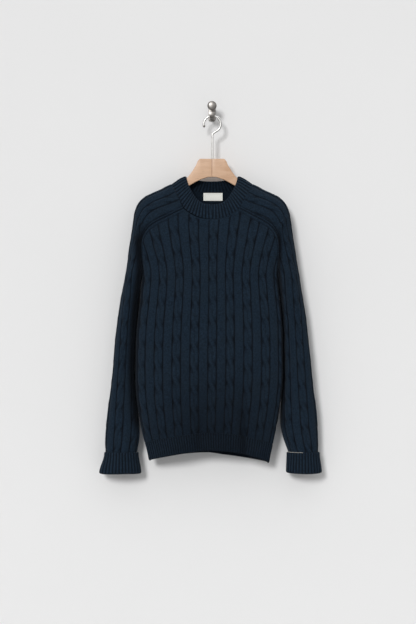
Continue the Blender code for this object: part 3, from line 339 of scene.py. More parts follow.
def share_at(distance, z):
    """The share whose point lies this far from the trunk's middle line."""
    across = np.clip(np.abs(distance) / TRUNK_AT["half_width"](z), 0.0, 1.0)
    return np.interp(across, QUARTER_ACROSS, QUARTER_SHARE)


def hem_foot(side, share):
    """Height of the hem's lower edge."""
    end = np.where(np.asarray(share) < 0, HEM_SIDE[-1], HEM_SIDE[1])
    curve = np.where(np.asarray(share) < 0, *HEM_CURVE[side])
    return HEM_MIDDLE[side] + (end - HEM_MIDDLE[side]) * np.abs(share) ** curve


def neck_height(side, distance):
    """Height of the front or back neck line at a distance from the middle."""
    corner = SHOULDER[0]
    if side < 0:
        rise = (np.abs(distance) / corner.front_x) ** NECK_FRONT_CURVE
        return corner.front_z - NECK_FRONT_DROP * (1 - rise)
    rise = (np.abs(distance) / corner.back_x) ** 2
    return corner.back_z - NECK_BACK_DROP * (1 - rise)


def top_line(side):
    """The panel's upper boundary as share and height: neck line, then armhole seam."""
    edge = "front" if side < 0 else "back"
    corner_x = getattr(SHOULDER[0], edge + "_x")
    shares, heights = [], []
    for distance in np.linspace(0.0, corner_x, 41):
        z = float(neck_height(side, distance))
        shares.append(float(share_at(distance, z)))
        heights.append(z)
    for row in np.linspace(0.0, SHOULDER_ROWS, 201)[1:]:
        z = float(SHOULDER_AT[edge + "_z"](row))
        shares.append(float(share_at(SHOULDER_AT[edge + "_x"](row), z)))
        heights.append(z)
    shares = np.maximum.accumulate(np.array(shares))
    return shares + np.arange(len(shares)) * 1e-9, np.array(heights)


TOP_LINE = {side: top_line(side) for side in (-1, 1)}
CORNER_SHARE = {side: float(TOP_LINE[side][0][40]) for side in (-1, 1)}


def top_height(side, share):
    return np.interp(np.abs(share), *TOP_LINE[side])


def seam_row(side, share):
    """The shoulder table's row where a column of the panel meets the sleeve."""
    shares = TOP_LINE[side][0][40:]
    return np.interp(abs(share), shares, np.linspace(0.0, SHOULDER_ROWS, len(shares)))


# ---------------------------------------------------------------- sleeve sections

def seam_point(hand, side, row):
    """A point on the line where panel and sleeve meet. hand is -1 left, 1 right."""
    edge = "front" if side < 0 else "back"
    z = float(SHOULDER_AT[edge + "_z"](row))
    share = float(share_at(SHOULDER_AT[edge + "_x"](row), z))
    return trunk(side, hand * share, z)


def half_section(hand, side, row):
    """One half of a sleeve's section: outermost point, centre, half depth, last angle."""
    if row >= SHOULDER_ROWS:
        z = tube_height(row)
        middle = TUBE_MIDDLE_AT(z)
        out = np.array([hand * TUBE_AT["out_x"](z), TUBE_AT["out_y"](z), z])
        inner = np.array([middle + hand * TUBE_AT["in_x"](z), TUBE_AT["in_y"](z), z])
        return out, (out + inner) / 2, float(TUBE_AT["depth"](z)), math.pi
    at = {name: float(SHOULDER_AT[name](row)) for name in ShoulderRow._fields}
    seam = seam_point(hand, side, row)
    out = np.array([hand * at["out_x"], at["out_y"], at["out_z"]])
    needed = side * (seam[1] - at["middle_y"])
    depth = max(at["front_depth"] if side < 0 else at["back_depth"], needed)
    lean = at["out_y"] - at["middle_y"]
    reach, phase = math.hypot(lean, depth), math.atan2(depth, lean)
    cosine = max(-1.0, min(1.0, (seam[1] - at["middle_y"]) / reach))
    last = 2 * math.pi - math.acos(cosine) - phase if side < 0 else math.acos(cosine) + phase
    last = min(math.pi, max(math.pi / 2, last))
    centre = (seam - out * math.cos(last)) / (1 - math.cos(last))
    centre[1] = at["middle_y"]
    return out, centre, depth, last


def tube_height(row):
    """Rows past the shoulder's count down the tube, one for each table step of 45 mm."""
    return SHOULDER[-1].out_z - (row - SHOULDER_ROWS) * TUBE_STEP


TUBE_STEP = 45.0
LAST_ROW = SHOULDER_ROWS + (SHOULDER[-1].out_z - SLEEVE_END) / TUBE_STEP
ARC_SAMPLES = 33


def sleeve_curve(hand, row):
    """The whole section: arc lengths from the outermost point, front below zero, and points."""
    parts = []
    for side in (-1, 1):
        out, centre, depth, last = half_section(hand, side, row)
        angle = np.linspace(0.0, last, ARC_SAMPLES)[:, None]
        points = centre + (out - centre) * np.cos(angle)
        points[:, 1] += side * depth * np.sin(angle[:, 0])
        length = np.concatenate(([0.0], np.cumsum(np.linalg.norm(np.diff(points, axis=0), axis=1))))
        parts.append((length, points))
    lengths = np.concatenate((-parts[0][0][::-1], parts[1][0][1:]))
    points = np.concatenate((parts[0][1][::-1], parts[1][1][1:]))
    return lengths, points


def sleeve_point(curve, length):
    """The section's point, or points, at an arc length."""
    lengths, points = curve
    return np.stack([np.interp(length, lengths, points[:, axis]) for axis in range(3)], axis=-1)


def cuff_flare(hand, outward):
    """How far the fold of a cuff stands out where it faces this way."""
    outer, middle, inner = CUFF_FLARE[hand]
    facing = hand * np.asarray(outward)[..., 0]
    return middle + (outer - middle) * np.maximum(facing, 0.0) + (inner - middle) * np.maximum(-facing, 0.0)


def seam_frame(hand, side, row):
    """Point, outward direction and direction from panel to sleeve at the armhole seam."""
    low, high = max(0.0, row - 0.05), min(float(SHOULDER_ROWS), row + 0.05)
    along = unit(seam_point(hand, side, high) - seam_point(hand, side, low))
    turn = math.pi / 2 * float(ease((row / SHOULDER_ROWS - 0.62) / 0.38))
    outward = np.array([0.0, side * math.cos(turn), -math.sin(turn)])
    if row >= SHOULDER_ROWS:
        along = np.array([0.0, 1.0, 0.0])
    across = unit(np.cross(along, outward))
    wanted = np.array([hand, 0.0, 0.3])
    if np.dot(across, wanted) < 0:
        across = -across
    return seam_point(hand, side, row), unit(outward), across


# ---------------------------------------------------------------- neck line

def neck_loop():
    """The closed line on which the collar is linked, from the front middle to the right."""
    points = []
    for distance in np.linspace(0.0, SHOULDER[0].front_x, 49)[:-1]:
        z = float(neck_height(-1, distance))
        points.append(trunk(-1, float(share_at(distance, z)), z))
    points += list(sleeve_curve(1, 0.0)[1])
    for distance in np.linspace(SHOULDER[0].back_x, 0.0, 37)[1:]:
        z = float(neck_height(1, distance))
        points.append(trunk(1, float(share_at(distance, z)), z))
    mirrored = [point * np.array([-1.0, 1.0, 1.0]) for point in points[::-1][1:-1]]
    return np.array(points + mirrored)


def collar_edge_loop():
    """The collar's free edge, from the front middle to the right."""
    places = range(len(COLLAR_EDGE))
    curves = [track(places, [getattr(row, name) for row in COLLAR_EDGE]) for name in CollarRow._fields]
    fine = np.linspace(0, len(COLLAR_EDGE) - 1, 133)
    right = np.stack([curve(fine) for curve in curves], axis=-1)
    left = right[::-1][1:-1] * np.array([-1.0, 1.0, 1.0])
    return np.concatenate((right, left))


def along_loop(points, shares):
    """Points of a closed line at shares of its length."""
    closed = np.concatenate((points, points[:1]))
    length = np.concatenate(([0.0], np.cumsum(np.linalg.norm(np.diff(closed, axis=0), axis=1))))
    return np.stack([np.interp(shares, length / length[-1], closed[:, axis]) for axis in range(3)], axis=-1)


NECK_SAMPLES = 720


def neck_directions():
    """Samples of the neck line with the outward and upward directions of its seam."""
    shares = np.arange(NECK_SAMPLES) / NECK_SAMPLES
    base = along_loop(neck_loop(), shares)
    edge = along_loop(collar_edge_loop(), shares)
    around = unit(np.roll(base, -6, axis=0) - np.roll(base, 6, axis=0))
    outward = unit(np.cross(around, edge - base))
    return base, outward, unit(np.cross(outward, around))


NECK_BASE, NECK_OUTWARD, NECK_UPWARD = neck_directions()


def neck_frame(point):
    """Outward and upward direction of the neck seam nearest to a point."""
    nearest = int(np.argmin(np.linalg.norm(NECK_BASE - point, axis=1)))
    return NECK_OUTWARD[nearest], NECK_UPWARD[nearest]


# ---------------------------------------------------------------- stitches

# Columns of points across one unit of knitting, from one cable's middle to the next.
UNIT_MARKS = (-10.0, -9.2, -8.0, -6.2, -4.2, -2.1, 0.0, 2.1, 4.2, 6.2, 8.0, 9.2, 10.0, 10.8, 12.2, 15.0,
              18.0, 21.0, 24.0, 27.0, 29.8, 31.2)
STRAND = 0.56            # half width of one strand, over half the cable's
STRAND_SWING = 0.92      # how far a strand moves over at a crossing, over half the cable's width
CROSSING_SHARE = 0.66    # a strand moves over during this share of the pitch and then runs straight
CROSSING_SHIFT = 0.22    # the cables' crossings stand up to this share of the pitch apart
STRAND_RISE, STRAND_SINK = 0.25, 0.6     # at a crossing, of the upper strand and the lower one
BODY_SHARE = 0.38        # of the cable's height; the strands on it make up the rest
GROOVE_SHADE = 2.3       # the painted shade of the groove beside a cable fades over this distance
EDGE_FADE = 6.0          # the relief flattens over this length before a plain edge
SEAM_DIP = 0.6           # and the knitting dips there
WELT = 5.4               # width of the rounded welt on each side of a linked seam
WELT_HEIGHT = 1.5
SEAM_SLOPE = 0.78        # distance from the slanting saddle seam, over the height below it
VALLEY_WIDTH = {-1: 21.0, 0: 6.0, 1: 11.0}       # width of the valley's painted shade on the left sleeve, body, right sleeve
VALLEY_TOP, VALLEY_FOOT = -285.0, -835.0
VALLEY_COMES, VALLEY_GOES = 55.0, 60.0           # over these heights at its top and foot
INNER_EVERY = 3          # the plain inside has a third of the outside's points
# painted shade on the plain inside of the knitting
INSIDE_SHADE = 0.5
# painted light on the raised cables, painted shade on the plain stitches between them
CABLE_LIGHT, PLAIN_SHADE = 1.06, 0.93
BESIDE_STRAND_SHADE = 0.74        # painted shade: how much darker it is beside a crossing strand
BETWEEN_STRANDS_SHADE = 0.30              # and painted shade between two strands that run straight
# how dark the painted shade in the valley between body and sleeve gets
VALLEY_SHADE_DEPTH = 0.94
# the painted groove shade is this share weaker on the saddle
SADDLE_SHADE_EASING = 0.1
LOW_SHADE = {-1: 0.58, 1: 0.2}   # painted shade: how much darker the foot of front and back is than the chest
SHADE_TOP, SHADE_HEIGHT = -560.0, 290.0          # it darkens from here down, over this height
SHADE_MIDDLE, SHADE_WIDTH = 8.0, 170.0
FOLD_SHADE_PER_MM = 0.06         # painted shade for each millimetre of a fold's depth


def knit_settings():
    return bpy.context.scene.sweater_knit


def unit_place(across):
    """How far right of the nearest cable's middle a place lies, in millimetres."""
    return np.mod(across + CABLE_UNIT / 2, CABLE_UNIT) - CABLE_UNIT / 2


def knit_relief(across, along):
    """Height of the stitches, their own place across and their tone, for columns and lengths in millimetres.
    The tone is painted shade in the grooves and beside the strands, and painted light on the cables."""
    knit = knit_settings()
    here = unit_place(across)
    number = np.round((across - here) / CABLE_UNIT)
    inside = here / CABLE_HALF
    phase = np.mod(along / CABLE_PITCH + CROSSING_SHIFT * np.sin(number * 2.3), 1.0)
    swing = ease(phase / CROSSING_SHARE)
    crossing = 1 - np.abs(2 * swing - 1)
    over = (inside - STRAND_SWING * (swing - 0.5)) / STRAND
    under = (inside - STRAND_SWING * (0.5 - swing)) / STRAND
    body = np.maximum(0.0, 1 - inside**2) ** 0.4
    top = np.sqrt(np.maximum(0.0, 1 - over**2)) * (1 + STRAND_RISE * crossing)
    low = np.sqrt(np.maximum(0.0, 1 - under**2)) * (1 - STRAND_SINK * crossing)
    strands = np.maximum(top, low)
    cable = (BODY_SHARE * body + (1 - BODY_SHARE) * strands) * np.minimum(1.0, 2.4 * body)
    rib = (np.abs(here) - CABLE_UNIT / 2) / (CABLE_UNIT / 2 - CABLE_HALF)
    plain = np.maximum(0.0, 1 - rib**2) ** 0.35
    in_cable = np.abs(here) <= CABLE_HALF
    height = np.where(in_cable, cable * knit.cable_height, plain * knit.plain_height) * 1000
    strand_place = np.where(top >= low, over, under) * STRAND * CABLE_HALF
    plain_place = np.sign(here) * (np.abs(here) - CABLE_UNIT / 2)
    to_groove = np.abs(np.abs(here) - CABLE_HALF) - 0.45 * crossing * in_cable
    uneven = 0.5 + 0.5 * np.sin(along / 31.0 + number * 1.7 + np.sign(here)) * np.sin(along / 13.0 + number)
    # painted shade: dark in the groove beside each cable, beside a crossing strand and between straight
    # strands
    tone = 1 - (1 - ease((to_groove - 0.2) / GROOVE_SHADE)) * (0.72 + 0.28 * uneven)
    beside_strand = ease((np.abs(over) - 0.66) / 0.26) * crossing**0.6
    between = (1 - crossing) * (1 - ease(np.abs(inside) / 0.24))
    tone = tone * np.where(
        in_cable, CABLE_LIGHT - BESIDE_STRAND_SHADE * beside_strand - BETWEEN_STRANDS_SHADE * between, PLAIN_SHADE)
    return height, np.where(in_cable, strand_place, plain_place), tone


def column_marks(first, last, offset):
    """Places of the columns between two seams, the seams included."""
    marks = []
    units = range(math.floor((first - offset) / CABLE_UNIT) - 1, math.ceil((last - offset) / CABLE_UNIT) + 1)
    for number in units:
        marks += [offset + number * CABLE_UNIT + mark for mark in UNIT_MARKS]
    inside = [mark for mark in marks if first + 1.5 < mark < last - 1.5]
    return np.array([first, *inside, last])


def fade_to_edge(distance):
    """1 away from an edge, falling to 0 on it, and the dip that goes with it."""
    fade = ease(distance / EDGE_FADE)
    return fade, -SEAM_DIP * (1 - ease(distance / 2.5))


def welt(distance):
    """Height of the rounded welt beside a linked seam, and how far the relief fades there."""
    place = (distance - WELT / 2 - 0.3) / (WELT / 2)
    return WELT_HEIGHT * np.sqrt(np.maximum(0.0, 1 - place**2)), ease((distance - WELT) / 3.0)


def valley(distance, z, width):
    """Painted shade in the deep valley between body and sleeve, from the underarm down."""
    deep = ease((VALLEY_TOP - z) / VALLEY_COMES) * ease((z - VALLEY_FOOT) / VALLEY_GOES)
    return 1 - deep * (1 - ease((distance - 0.4 * width) / (0.7 * width))) * VALLEY_SHADE_DEPTH


def fold_shade(side, x, z):
    """Painted shade in the hanging folds, and over the lower front more than the chest."""
    aside = (x - SHADE_MIDDLE) / SHADE_WIDTH
    shade = 1 - LOW_SHADE[side] * ease((SHADE_TOP - z) / SHADE_HEIGHT) * np.exp(-aside**2)
    for fold in FOLDS:
        if fold.side == side and fold.depth > 0:
            down, middle = fold_place(fold, z)
            hollow = np.exp(-((x - middle) / (0.7 * fold.width)) ** 2)
            shade = shade * (1 - FOLD_SHADE_PER_MM * fold.depth * ease(down) * hollow)
    return shade


def welt_light_and_shade(distance):
    """Painted light and shade on the welt: bright on its top and dark on both sides."""
    place = np.abs(distance - WELT / 2 - 0.3) / (WELT / 2)
    return np.where(distance < WELT + 2.5, 1 - 0.85 * np.exp(-((place - 1) / 0.42) ** 2), 1.0)


def hand_of_wool(x, z):
    """Small unevenness of a hanging knit, in millimetres."""
    return (0.55 * np.sin(x / 23.0 + 1.3 + 0.8 * np.sin(z / 61.0)) * np.sin(z / 47.0 + 0.4)
            + 0.35 * np.sin(x / 11.0 - z / 39.0) + 0.3 * np.sin(z / 19.0 + x / 31.0))


# ---------------------------------------------------------------- closed cloth from grids

def picked(count):
    """Every third number of a line, with its last."""
    numbers = list(range(0, count, INNER_EVERY))
    return numbers if numbers[-1] == count - 1 else numbers + [count - 1]


MERGE = 0.00002          # points nearer than this, in metres, become one
SMOOTH_BELOW = 50        # degrees; sharper edges of the cloth stay sharp


def finish_mesh(name, mesh):
    """Cleans a mesh, turns its faces out and makes its object at the origin."""
    shape = bmesh.new()
    shape.from_mesh(mesh)
    bmesh.ops.remove_doubles(shape, verts=shape.verts, dist=MERGE)
    bmesh.ops.delete(shape, geom=[v for v in shape.verts if not v.link_faces], context="VERTS")
    bmesh.ops.recalc_face_normals(shape, faces=shape.faces)
    if shape.calc_volume(signed=True) < 0.0:
        bmesh.ops.reverse_faces(shape, faces=shape.faces)
    shape.to_mesh(mesh)
    shape.free()
    piece = bpy.data.objects.new(name, mesh)
    bpy.context.scene.collection.objects.link(piece)
    mesh.shade_smooth()
    mesh.set_sharp_from_angle(angle=math.radians(SMOOTH_BELOW))
    return piece


def stitch_map(mesh, across, along):
    """UV map in stitches: across counts columns of stitches and along counts rows."""
    layer = mesh.uv_layers.new(name="stitches")
    numbers = np.empty(len(mesh.loops), int)
    mesh.loops.foreach_get("vertex_index", numbers)
    values = np.stack([across[numbers], along[numbers]], axis=-1)
    layer.data.foreach_set("uv", values.ravel())


def set_painted_shade(mesh, values):
    """Painted shade at each point, kept as how bright it lies: low in the grooves between the ridges."""
    layer = mesh.attributes.new(name="ridge", type="FLOAT", domain="POINT")
    layer.data.foreach_set("value", np.asarray(values, dtype=np.float32).ravel())


def grid_faces(rows, columns, first=0, turned=False):
    """Squares of a grid whose points are numbered row by row."""
    faces = []
    for r in range(rows - 1):
        for c in range(columns - 1):
            here = first + r * columns + c
            face = (here, here + 1, here + columns + 1, here + columns)
            faces.append((face[0], face[3], face[2], face[1]) if turned else face)
    return faces


def knit_panel(name, surface, normal, lift, across, along, tone):
    """A closed cloth: the plain surface with its relief outside, and WALL behind it a plain
    inside a third as fine. across and along are in millimetres of knitting."""
    knit = knit_settings()
    across, along = across / (knit.stitch_width * 1000), along / (knit.row_height * 1000)
    rows, columns = surface.shape[:2]
    row_picks, column_picks = picked(rows), picked(columns)
    inside = np.ix_(row_picks, column_picks)
    outer, inner = surface + normal * lift[..., None], surface[inside] - normal[inside] * WALL
    inner_rows, inner_columns = inner.shape[:2]
    points = np.concatenate((outer.reshape(-1, 3), inner.reshape(-1, 3))) * MM
    base = rows * columns

    def out(r, c):
        return r * columns + c

    def back(r, c):
        return base + r * inner_columns + c

    faces = grid_faces(rows, columns) + grid_faces(inner_rows, inner_columns, base, True)
    for i, (start, stop) in enumerate(zip(row_picks, row_picks[1:])):
        for c, b in ((0, 0), (columns - 1, inner_columns - 1)):
            faces.append([out(r, c) for r in range(start, stop + 1)] + [back(i + 1, b), back(i, b)])
    for i, (start, stop) in enumerate(zip(column_picks, column_picks[1:])):
        for r, b in ((0, 0), (rows - 1, inner_rows - 1)):
            faces.append([out(r, c) for c in range(start, stop + 1)] + [back(b, i + 1), back(b, i)])
    mesh = bpy.data.meshes.new(name)
    mesh.from_pydata(points.tolist(), [], faces)
    stitch_map(mesh, np.concatenate((across.ravel(), across[inside].ravel())),
               np.concatenate((along.ravel(), along[inside].ravel())))
    # the inside gets an even painted shade
    set_painted_shade(mesh, np.concatenate((tone.ravel(), np.full(across[inside].size, INSIDE_SHADE))))
    return finish_mesh(name, mesh)


def knit_ring(name, grid, across, along, tone):
    """A closed band: rows run round its section and columns round the opening."""
    rows, columns = grid.shape[:2]
    faces, places = [], []
    for r in range(rows):
        low, high = along[r], along[r + 1] if r < rows - 1 else along[r] + 1.0
        for c in range(columns):
            left, right = across[c], across[c] + across[1] - across[0]
            faces.append((r * columns + c, r * columns + (c + 1) % columns,
                          (r + 1) % rows * columns + (c + 1) % columns, (r + 1) % rows * columns + c))
            places += [left, low, right, low, right, high, left, high]
    mesh = bpy.data.meshes.new(name)
    mesh.from_pydata((grid.reshape(-1, 3) * MM).tolist(), [], faces)
    mesh.uv_layers.new(name="stitches").data.foreach_set("uv", places)
    set_painted_shade(mesh, tone)
    return finish_mesh(name, mesh)


# ---------------------------------------------------------------- front and back

def panel_top(side, share):
    """Top point of a panel's column with its outward direction and the way off the seam."""
    z = float(top_height(side, share))
    point = trunk(side, share, z)
    hand = -1 if share < 0 else 1
    away = np.zeros(3)
    outward = trunk_normal(side, share, z)
    corner = CORNER_SHARE[side]
    if abs(share) >= corner - 1e-6:
        _, outward, across = seam_frame(hand, side, float(seam_row(side, share)))
        away -= across * SEAM_GAP
    if abs(share) <= corner + 1e-6:
        outward, upward = neck_frame(point)
        away -= upward * COLLAR_GAP
    return point + away, outward


def make_panel(name, side, rows=196):
    """Front or back: cabled from the hem to the neck and the saddle seams."""
    width, reach = TRUNK_AT["half_width"](CHEST_Z), float(TRUNK_AT["front"](CHEST_Z))
    half = float(np.hypot(width * np.diff(QUARTER_ACROSS), reach * np.diff(QUARTER_DEPTH)).sum())
    first = -side * CABLE_FIRST
    marks = column_marks(-half, half, first)
    corner = CORNER_SHARE[side]
    shares = marks / half
    for hand in (-1, 1):
        shares[np.argmin(np.abs(shares - hand * corner))] = hand * corner
    foot = hem_foot(side, shares) + HEM_BAND + SEAM_GAP
    tops = [panel_top(side, share) for share in shares]
    top_points = np.array([point for point, _ in tops])
    top_outward = np.array([outward for _, outward in tops])
    top = np.array([float(top_height(side, share)) for share in shares])
    step = np.linspace(0.0, 1.0, rows)[:, None]
    z = foot + (top - foot) * step
    share_grid = np.broadcast_to(shares, z.shape)
    surface = trunk(side, share_grid, z)
    normal = trunk_normal(side, share_grid, z)
    side_distance = (1 - np.abs(share_grid)) * half
    height, across, tone = knit_relief(np.broadcast_to(marks - first, z.shape), top.max() - z)
    from_top = top - z
    at_corner = np.abs(share_grid) >= corner - 1e-6
    slope = np.where(at_corner, SEAM_SLOPE, 1.0)
    fade, dip = fade_to_edge(np.minimum(z - foot + 3.0, np.where(at_corner, np.inf, from_top)))
    raised, beside = welt(from_top * slope)
    raised, beside = np.where(at_corner, raised, 0.0), np.where(at_corner, beside, 1.0)
    fade = fade * beside * ease(side_distance / 4.0)
    surface[-1] = top_points
    normal[-1] = top_outward
    lift = (height + hand_of_wool(surface[..., 0], surface[..., 2])) * fade + raised + dip
    # The tone is painted light and shade: the relief's, the welt's, the valley's beside the sleeve and the
    # folds'.
    tone = 1 - (1 - tone) * fade
    tone = tone * np.where(at_corner, welt_light_and_shade(from_top * slope), 1.0)
    beside_sleeve = TRUNK_AT["half_width"](z) - np.abs(surface[..., 0] - TRUNK_AT["middle"](z))
    tone = tone * valley(beside_sleeve, z, VALLEY_WIDTH[0]) * fold_shade(side, surface[..., 0], z)
    gap = np.where(side_distance < 1e-6, side * SEAM_GAP, 0.0)
    surface[..., 1] += gap
    return knit_panel(name, surface, normal, lift, across, top.max() - z, tone)


# ---------------------------------------------------------------- sleeves

def make_sleeve(name, hand, rows=262):
    """A sleeve with its saddle, from the neck over the shoulder to the cuff."""
    places = np.linspace(0.0, LAST_ROW, rows)
    coarse = np.linspace(0.0, LAST_ROW, 121)
    curves = [sleeve_curve(hand, row) for row in places]
    coarse_curves = [sleeve_curve(hand, row) for row in coarse]
    reach = {side: np.array([abs(c[0][0 if side < 0 else -1]) for c in coarse_curves]) for side in (-1, 1)}
    full = {side: float(reach[side][coarse > SHOULDER_ROWS].max()) for side in (-1, 1)}
    ridge = np.array([sleeve_point(c, 0.0) for c in coarse_curves])
    length = np.concatenate(([0.0], np.cumsum(np.linalg.norm(np.diff(ridge, axis=0), axis=1))))
    down = np.interp(places, coarse, length)
    spread = SHOULDER_AT["spread"](np.minimum(places, SHOULDER_ROWS))
    squeeze = {side: np.interp(np.maximum(places, SHOULDER_ROWS + 0.1), coarse, reach[side]) / full[side]
               for side in (-1, 1)}
    marks = column_marks(-full[-1], full[1], 0.0)
    sides = np.where(marks < 0, -1, 1)
    surface, around = np.empty((2, rows, len(marks), 3))
    arcs, limits = np.empty((2, rows, len(marks)))
    for r, curve in enumerate(curves):
        first, last = curve[0][0], curve[0][-1]
        wanted = marks * spread[r] * np.where(sides < 0, squeeze[-1][r], squeeze[1][r])
        wanted[0], wanted[-1] = first, last
        arcs[r] = np.clip(wanted, first, last)
        limits[r] = np.where(sides < 0, -first, last)
        surface[r] = sleeve_point(curve, arcs[r])
        around[r] = sleeve_point(curve, arcs[r] + 1.5) - sleeve_point(curve, arcs[r] - 1.5)
    downward = np.gradient(surface, axis=0)
    normal = unit(np.cross(downward, around)) * hand
    to_side = limits - np.abs(arcs)
    on_seam = to_side < 1e-6
    for r, row in enumerate(places):
        for side in (-1, 1):
            touched = on_seam[r] & (sides == side)
            if row <= SHOULDER_ROWS:
                point, outward, across = seam_frame(hand, side, row)
                point = point + across * SEAM_GAP
            else:
                outward = np.array([-hand, 0.0, 0.0])
                point = curves[r][1][0 if side < 0 else -1] + np.array([0.0, side * SEAM_GAP / 2, 0.0])
            surface[r, touched] = point
            normal[r, touched] = outward
    for c in range(len(marks)):
        outward, upward = neck_frame(surface[0, c])
        surface[0, c] -= upward * COLLAR_GAP
        normal[0, c] = outward
    height, across, tone = knit_relief(np.broadcast_to(marks, arcs.shape),
                                       np.broadcast_to(down[:, None], arcs.shape))
    to_end = np.minimum(down, down[-1] - down)[:, None]
    fade, dip = fade_to_edge(to_end + 2.0)
    seam = ease((SHOULDER_ROWS - 0.2 - places[:, None]) / 2.0)
    raised, beside = welt(to_side)
    raised, beside = raised * seam, beside * seam + ease(to_side / 4.0) * (1 - seam)
    fade = fade * beside
    uneven = hand_of_wool(surface[..., 1] * 2 + 40.0 * hand, surface[..., 2])
    lift = (height + uneven) * fade + raised + dip
    # The tone is painted light and shade: the relief's, eased on the saddle, the welt's and the valley's
    # beside the body.
    saddle = 1 - ease((places[:, None] - 3.0) / 2.5)
    tone = 1 - (1 - tone) * fade * (1 - SADDLE_SHADE_EASING * saddle)
    tone = tone * (1 - seam * (1 - welt_light_and_shade(to_side)))
    level = surface[..., 2]
    inner_x = np.where(level > SHOULDER[-1].out_z, np.abs(surface[:, :1, 0]),
                       np.abs(TUBE_MIDDLE_AT(level) + hand * TUBE_AT["in_x"](level)))
    tone = tone * valley(np.abs(surface[..., 0]) - inner_x, level, VALLEY_WIDTH[hand])
    return knit_panel(name, surface, normal, lift, across, np.broadcast_to(down[:, None], arcs.shape), tone)


# ---------------------------------------------------------------- ribbed bands

RIB_POINTS = 8


def rib_shape(count):
    """Height from 0 to 1 of rounded ribs with a narrow groove between them."""
    phase = (np.arange(count * RIB_POINTS) % RIB_POINTS) / RIB_POINTS
    return np.sqrt(np.maximum(0.0, 1 - ((phase - 0.5) / 0.5) ** 2)) ** 1.3


def rib_lift(rib, ribs, standing=1.0):
    """How far the ribs lift a row, in millimetres. A negative rib sinks the inside's ribs in."""
    return rib * ribs * knit_settings().rib_height * 1000 * (standing if rib > 0 else 0.7)


def in_rows(length):
    """A length in millimetres counted in rows of stitches."""
    return length / (knit_settings().row_height * 1000)


def band_section(inner, outer, length, foot_round, top_round, foot_lift):
    """Closed section of a plain band as (along, lift, ribs) rows, from its foot up the outside."""
    rows = [(0.0, foot_lift, 0.2)]
    rows += [(foot_round * 0.3, max(outer - 0.35, foot_lift), 0.7)]
    rows += [(foot_round + (length - foot_round - top_round) * k / 9, outer, 1.0) for k in range(10)]
    rows += [(length - top_round * 0.3, outer - 0.35, 0.7), (length, inner + (outer - inner) * 0.5, 0.2)]
    rows += [(length - top_round * 0.3, inner + 0.35, 0.0)]
    rows += [(foot_round + (length - foot_round - top_round) * (1 - k / 5), inner, -0.6) for k in range(6)]
    rows += [(foot_round * 0.3, inner + 0.35, 0.0)]
    return rows


def make_collar():
    """The ribbed neck band, its free edge rolled over."""
    count = COLLAR_RIBS * RIB_POINTS
    shares = (np.arange(count) / count + 0.5 / COLLAR_RIBS) % 1.0
    base = along_loop(neck_loop(), shares)
    edge = along_loop(collar_edge_loop(), shares)
    frames = [neck_frame(point) for point in base]
    outward = np.array([frame[0] for frame in frames])
    upward = np.array([frame[1] for frame in frames])
    ribs = rib_shape(COLLAR_RIBS)
    start = base + upward * COLLAR_GAP
    run = edge - start
    length = np.linalg.norm(run, axis=1).mean()
    rows, places, painted_shades = [], [], []
    for along, lift, rib in band_section(-WALL, 0.0, 1.0, 0.004, 0.08, -0.3):
        bulge = COLLAR_BULGE * math.sin(math.pi * min(1.0, max(0.0, along)) ** 1.4)
        lifted = lift + bulge + rib_lift(rib, ribs)
        rows.append(start + run * along + outward * lifted[:, None])
        places.append(in_rows(along * length))
        # painted shade in the grooves between the ribs, darker on the inside
        painted_shades.append(ribs**1.9 * (0.62 if rib <= 0 else 1.0))
    across = np.arange(count) / RIB_POINTS * 2.0
    return knit_ring("collar_knit", np.array(rows), across, np.array(places), np.array(painted_shades))


def make_hem():
    """The ribbed band round the hem."""
    count = HEM_RIBS * RIB_POINTS
    k = np.arange(count)
    side = np.where(k < count // 2, -1, 1)
    share = (-1 + 2 * (k % (count // 2)) / (count // 2)) * -side
    ribs = rib_shape(HEM_RIBS)
    foot = np.where(side < 0, hem_foot(-1, share), hem_foot(1, share))
    rows, places, painted_shades = [], [], []
    for along, lift, rib in band_section(-WALL, 0.2, HEM_BAND - SEAM_GAP, 3.0, 0.6, -1.6):
        z = foot + along
        front, back = trunk(-1, share, z), trunk(1, share, z)
        point = np.where((side < 0)[:, None], front, back)
        normal = np.where((side < 0)[:, None], trunk_normal(-1, share, z), trunk_normal(1, share, z))
        lifted = lift + rib_lift(rib, ribs)
        rows.append(point + normal * lifted[:, None])
        places.append(in_rows(along))
        shade = np.where(side < 0, fold_shade(-1, point[:, 0], z), fold_shade(1, point[:, 0], z))
        # painted shade in the grooves between the ribs, darker on the inside, with the folds' painted shade
        painted_shades.append(ribs**1.8 * shade * (0.5 if rib <= 0 else 0.96))
    across = k / RIB_POINTS * 2.0
    return knit_ring("hem_knit", np.array(rows), across, np.array(places), np.array(painted_shades))


